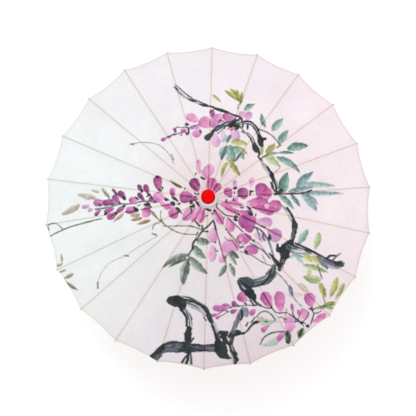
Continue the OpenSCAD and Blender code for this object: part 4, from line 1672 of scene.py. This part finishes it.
def paper_grain() -> Group:
    """The sheet's fine long fibres, laid both ways, and soft clouds."""
    g = Group("paper_grain", {}, ("Fibre", "Cloud"))
    laid = [
        g.node("Mapping", {0: g.place, 2: (0.0, 0.0, turn), 3: size}).outputs[0]
        for turn, size in ((0.6, (420.0, 1500.0, 900.0)), (-0.5, (1500.0, 420.0, 900.0)))
    ]
    g.give("Fibre", g.math("MAXIMUM", *(g.noise(place, 1.0, 2.0) for place in laid)))
    g.give("Cloud", g.noise(g.place, 45.0, 3.0))
    return g


def handling() -> Group:
    """Smudges and fine dust on smooth pieces."""
    g = Group("handling", {}, ("Smudge", "Dust"))
    g.give("Smudge", g.noise(g.place, 130.0, 4.0))
    g.give("Dust", g.span(g.noise(g.place, 1900.0, 2.0), 0.66, 0.75, 0.0, 1.0))
    return g


class Shared:
    """The groups that the finishes share, made once."""

    def __init__(self) -> None:
        """Makes the groups."""
        self.fibres, self.grain, self.paper, self.touched = bamboo_fibres(), long_grain(), paper_grain(), handling()


class Look(Nodes):
    """A material under way: its tree, its Principled node and its output."""

    def __init__(self, name: str) -> None:
        """Starts the material.

        Args:
            name: its name.
        """
        self.material = bpy.data.materials.new(name)
        self.material.use_nodes = True
        super().__init__(self.material.node_tree)
        self.tree.nodes.clear()
        self.shader = self.node("BsdfPrincipled")
        self.output = self.node("OutputMaterial", {0: self.shader.outputs[0]})

    def use(self, group: Group, **inputs: float) -> bpy.types.NodeOutputs:
        """Adds a shared group.

        Args:
            group: the group.
            inputs: its values here.

        Returns:
            Its outputs.
        """
        node = self.node("Group", node_tree=group.tree)
        for key, value in inputs.items():
            node.inputs[key].default_value = value
        return node.outputs

    def done(self, colour: object, rough: object, height: Socket, depth: float, **others: float) -> Material:
        """Sets the Principled node.

        Args:
            colour: the base colour.
            rough: the roughness.
            height: the bump's height.
            depth: the bump's depth in metres.
            others: plain values of other sockets, with _ for a space.

        Returns:
            The material.
        """
        bump = self.node("Bump", {"Height": height, "Distance": depth, "Strength": 1.0}).outputs[0]
        plain = {key.replace("_", " "): value for key, value in others.items()}
        for key, value in {"Base Color": colour, "Roughness": rough, "Normal": bump, **plain}.items():
            self.join(value, self.shader.inputs[key])
        return self.material


# ---------------------------------------------------------------- finishes


@dataclass(frozen=True)
class Paper:
    """The treated sheet: the painting, fine fibres, a slight gloss and some light through it."""

    name: str
    inside: bool
    let_through: float = 0.22

    def make(self, shared: Shared) -> Material:
        """Makes the material. On the face over the ribs, the painting only shows through.

        Args:
            shared: the groups that it uses.

        Returns:
            The material.
        """
        look = Look(self.name)
        painted = look.node("Attribute", attribute_name="painted").outputs["Color"]
        paper = look.use(shared.paper)
        if self.inside:
            painted = look.mix(0.42, painted, display(246, 236, 230))
        thready = look.mix(look.span(paper["Fibre"], 0.45, 0.75, 0.0, 0.035), painted, display(170, 150, 140))
        clouded = look.mix(look.span(paper["Cloud"], 0.35, 0.7, 0.0, 0.03), thready, display(205, 190, 196))
        rough = look.span(paper["Cloud"], 0.3, 0.7, 0.42, 0.56)
        lit = look.node("BsdfTranslucent", {"Color": clouded}).outputs[0]
        both = look.node("MixShader", {0: self.let_through, 1: look.shader.outputs[0], 2: lit})
        look.join(both.outputs[0], look.output.inputs[0])
        return look.done(clouded, rough, paper["Fibre"], 0.00004, Specular_IOR_Level=0.22)


@dataclass(frozen=True)
class Bamboo:
    """Split bamboo: long fibres, cloudy tone and a knuckle every so often."""

    name: str
    pale: Colour
    dark: Colour
    drop: float

    def make(self, shared: Shared) -> Material:
        """Makes the material.

        Args:
            shared: the groups that it uses.

        Returns:
            The material.
        """
        look = Look(self.name)
        fibres = look.use(shared.fibres, Drop=self.drop)
        tone = look.mix(look.span(fibres["Fibre"], 0.3, 0.7, 0.0, 1.0), display(*self.dark), display(*self.pale))
        clouded = look.mix(look.span(fibres["Patch"], 0.35, 0.7, 0.0, 0.45), tone, display(150, 112, 66))
        ringed = look.mix(look.times(fibres["Knuckle"], 0.6), clouded, display(96, 62, 34))
        rough = look.span(fibres["Fibre"], 0.3, 0.7, 0.62, 0.46)
        height = look.math("MULTIPLY_ADD", fibres["Knuckle"], 0.8, fibres["Fibre"])
        return look.done(ringed, rough, height, 0.00012)


@dataclass(frozen=True)
class Wood:
    """Wood with upright grain, open pores and a coat."""

    name: str
    pale: Colour
    dark: Colour
    rough: float
    fineness: float
    coat: float = 0.0

    def make(self, shared: Shared) -> Material:
        """Makes the material.

        Args:
            shared: the groups that it uses.

        Returns:
            The material.
        """
        look = Look(self.name)
        grain, touched = look.use(shared.grain, Fineness=self.fineness), look.use(shared.touched)
        tone = look.mix(look.span(grain["Streak"], 0.32, 0.68, 0.0, 1.0), display(*self.dark), display(*self.pale))
        pored = look.mix(look.times(grain["Pore"], 0.5), tone, display(*(c * 0.45 for c in self.dark)))
        uneven = look.span(touched["Smudge"], 0.3, 0.7, self.rough - 0.06, self.rough + 0.08)
        height = look.math("SUBTRACT", grain["Streak"], grain["Pore"])
        return look.done(pored, uneven, height, 0.00006, Coat_Weight=self.coat, Coat_Roughness=0.15)


@dataclass(frozen=True)
class Smooth:
    """A painted piece with smudges and a little dust. Its colour turns deep towards the bottom between two given
    heights: painted shade on its lower sides.
    """

    name: str
    colour: Colour
    deep: Colour
    rough: float
    coat: float = 0.0
    shine: float = 0.4
    soaked: Point | None = None

    def make(self, shared: Shared) -> Material:
        """Makes the material.

        Args:
            shared: the groups that it uses.

        Returns:
            The material.
        """
        look = Look(self.name)
        touched = look.use(shared.touched)
        deep = display(*self.deep)
        tone = look.mix(look.span(touched["Smudge"], 0.35, 0.7, 0.0, 0.3), display(*self.colour), deep)
        # painted shade: the colour turns deep from the upper given height down to the lower one and below it
        if self.soaked:
            tone = look.mix(look.span(look.split()[2], *self.soaked, 0.85, 0.0), tone, deep)
        dusty = look.mix(look.times(touched["Dust"], 0.12), tone, display(225, 222, 218))
        uneven = look.span(touched["Smudge"], 0.3, 0.7, self.rough - 0.05, self.rough + 0.09)
        coat = {"Coat_Weight": self.coat, "Coat_Roughness": 0.12, "Specular_IOR_Level": self.shine}
        return look.done(dusty, uneven, touched["Smudge"], 0.00005, **coat)


@dataclass(frozen=True)
class Metal:
    """Drawn or turned metal with fine marks."""

    name: str
    colour: Colour
    rough: float
    streaks: float

    def make(self, shared: Shared) -> Material:
        """Makes the material.

        Args:
            shared: the groups that it uses.

        Returns:
            The material.
        """
        look = Look(self.name)
        grain, touched = look.use(shared.grain, Fineness=self.streaks), look.use(shared.touched)
        dull = display(*(c * 0.62 for c in self.colour))
        tone = look.mix(look.span(touched["Smudge"], 0.4, 0.75, 0.0, 0.5), display(*self.colour), dull)
        uneven = look.span(grain["Streak"], 0.3, 0.7, self.rough - 0.08, self.rough + 0.12)
        return look.done(tone, uneven, grain["Streak"], 0.00003, Metallic=1.0)


@dataclass(frozen=True)
class Cord:
    """Waxed cord: its twist, as slanting bands that are darker in the grooves (painted shade), and loose fuzz."""

    name: str
    dark: Colour = (168, 146, 104)
    pale: Colour = (232, 220, 188)

    def make(self, shared: Shared) -> Material:
        """Makes the material.

        Args:
            shared: the groups that it uses.

        Returns:
            The material.
        """
        look = Look(self.name)
        x, y, z = look.split()
        turns = look.times(look.math("ARCTAN2", x, y), 88.0)
        slant = look.math("MULTIPLY_ADD", z, 2600.0, turns)
        band = look.math("MULTIPLY_ADD", look.math("SINE", slant), 0.5, 0.5)
        fuzz = look.noise(look.place, 2200.0)
        # painted shade: the bands are dark where the twist's height is low, in its grooves
        tone = look.mix(0.2, look.mix(band, display(*self.dark), display(*self.pale)), fuzz, "MULTIPLY")
        return look.done(tone, look.span(fuzz, 0.3, 0.7, 0.7, 0.9), look.math("ADD", band, fuzz), 0.00025)


# ---------------------------------------------------------------- dressing the frame


class Dresser:
    """Gives every CAD node that stays its finish, and adds the turned pieces and the lashings."""

    THREAD = Cord("thread")
    STEEL = Metal("spring_steel", (176, 176, 178), 0.3, 900.0)
    TURNED_WOOD = Wood("turned_wood", (226, 196, 150), (190, 150, 98), 0.42, 260.0, 0.15)
    PIECES = {
        # the knob and the collar get painted shade: both turn deep towards their lower sides
        KNOB: Smooth("knob_red", (229, 1, 1), (116, 0, 0), 0.42, 0.0, 0.02, (549.5 * MM, 559.8 * MM)),
        COLLAR: Smooth("collar_white", (218, 219, 227), (180, 180, 184), 0.4, 0.0, 0.4, (521 * MM, 534 * MM)),
        GRIP: Wood("grip_wood", (140, 84, 48), (88, 46, 24), 0.32, 220.0, 0.5),
        RING: Metal("ring_brass", (214, 172, 92), 0.28, 700.0),
        END_CAP: Smooth("lacquer_red", (176, 18, 14), (134, 8, 6), 0.22, 0.6),
    }
    NODES = {
        "rib": Bamboo("rib_bamboo", (232, 206, 158), (196, 158, 104), Rib.DROP),
        "strut": Bamboo("strut_bamboo", (222, 192, 140), (178, 138, 86), -Rib.DROP),
        "top_notch": TURNED_WOOD,
        "runner": TURNED_WOOD,
        "notch_thread": THREAD,
        "runner_thread": THREAD,
        "shaft": Wood("shaft_wood", (206, 166, 112), (160, 116, 66), 0.36, 340.0, 0.3),
        "stop_pin": Wood("pin_wood", (150, 108, 62), (108, 72, 38), 0.5, 900.0),
        "catch_pin": STEEL,
        "catch_spring": STEEL,
    }
    LASHINGS = (Lashing("a", 177 * MM), Lashing("b", 273 * MM))

    def __init__(self, shared: Shared) -> None:
        """Makes every finish once.

        Args:
            shared: the groups that they share.
        """
        finishes = {*self.PIECES.values(), *self.NODES.values()}
        self.made = {f: f.make(shared) for f in sorted(finishes, key=lambda f: f.name)}

    def dress(self, nodes: dict[str, bpy.types.Object]) -> None:
        """Sets the materials and adds the pieces.

        Args:
            nodes: CAD node name to its object.
        """
        for name, piece in nodes.items():
            finish = self.NODES.get(name.rstrip("_0123456789"))
            if finish:
                piece.data.materials.clear()
                piece.data.materials.append(self.made[finish])
        for turned, finish in self.PIECES.items():
            turned.build("stick", self.made[finish])
        for rib in Rib.every():
            for lashing in self.LASHINGS:
                lashing.build(rib, self.made[self.THREAD])
        LOG.info("dressed %d nodes", len(nodes))


# ---------------------------------------------------------------- stage


@dataclass(frozen=True)
class Light:
    """A square softbox aimed at the umbrella."""

    name: str
    place: Place
    side: float
    power: float
    colour: Colour = (1.0, 1.0, 1.0)
    aim: Place = (0.0, 0.0, 0.4)

    def build(self) -> None:
        """Adds the light."""
        data = bpy.data.lights.new(self.name, "AREA")
        data.shape = "SQUARE"
        data.size, data.energy, data.color = self.side, self.power, self.colour
        light = put(self.name, data)
        light.location = self.place
        light.rotation_euler = (Vector(self.aim) - light.location).to_track_quat("-Z", "Y").to_euler()


@dataclass(frozen=True)
class Studio:
    """The pale floor, the soft light and the camera."""

    lights: tuple[Light, ...] = (
        Light("key", (-1.2, 2.2, 6.6), 2.8, 80.0),
        Light("fill", (2.6, -1.2, 2.2), 2.4, 5.0, (0.93, 0.96, 1.0)),
    )
    surroundings: float = 1.155
    floor_size: float = 12.0
    pale: tuple[float, float, float, float] = (0.93, 0.93, 0.93, 1)
    matt: float = 0.9
    tilt: float = math.radians(9.31)
    roll: float = math.radians(1.46)
    distance: float = 5.0
    target: Place = (0.0, 0.0, 0.4037)
    lens: float = 168.8
    sensor: float = 36.0
    shift: Point = (-0.0002, -0.0044)

    def floor(self) -> None:
        """Adds the floor."""
        bm = bmesh.new()
        bmesh.ops.create_grid(bm, x_segments=1, y_segments=1, size=self.floor_size)
        floor = put("floor", made(bm, "floor"))
        material = bpy.data.materials.new("floor_white")
        material.use_nodes = True
        shader = material.node_tree.nodes["Principled BSDF"]
        shader.inputs["Base Color"].default_value = self.pale
        shader.inputs["Roughness"].default_value = self.matt
        floor.data.materials.append(material)

    def light(self) -> None:
        """Adds the lights and the pale surroundings."""
        for light in self.lights:
            light.build()
        world = bpy.data.worlds.new("studio")
        bpy.context.scene.world = world
        world.use_nodes = True
        sky = world.node_tree.nodes["Background"]
        sky.inputs["Color"].default_value = (1, 1, 1, 1)
        sky.inputs["Strength"].default_value = self.surroundings

    def camera(self) -> None:
        """Adds the camera: almost straight down, its feet towards the picture's lower edge."""
        data = bpy.data.cameras.new("camera")
        data.lens, data.sensor_width = self.lens, self.sensor
        data.shift_x, data.shift_y = self.shift
        data.dof.use_dof = False
        camera = put("camera", data)
        right = Vector((math.cos(self.roll), math.sin(self.roll), 0))
        level = Vector((-math.sin(self.roll), math.cos(self.roll), 0))
        ahead = level * math.sin(self.tilt) - Vector((0, 0, math.cos(self.tilt)))
        turn = Matrix((right, right.cross(ahead), -ahead)).transposed().to_4x4()
        camera.matrix_world = Matrix.Translation(Vector(self.target) - ahead * self.distance) @ turn
        bpy.context.scene.camera = camera

    def build(self) -> None:
        """Sets the stage."""
        self.floor()
        self.light()
        self.camera()
        bpy.context.scene.view_settings.view_transform = "Standard"


def main() -> None:
    """Builds the looks round the frame, class by class."""
    logging.basicConfig(level=logging.INFO, format="%(name)s: %(message)s")
    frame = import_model()
    Studio().build()
    shared = Shared()
    Canopy(Paper("sheet_painted", False).make(shared), Paper("sheet_inside", True).make(shared)).build()
    Dresser(shared).dress(frame["nodes"])
    LOG.info("done")


if __name__ == "__main__":
    main()
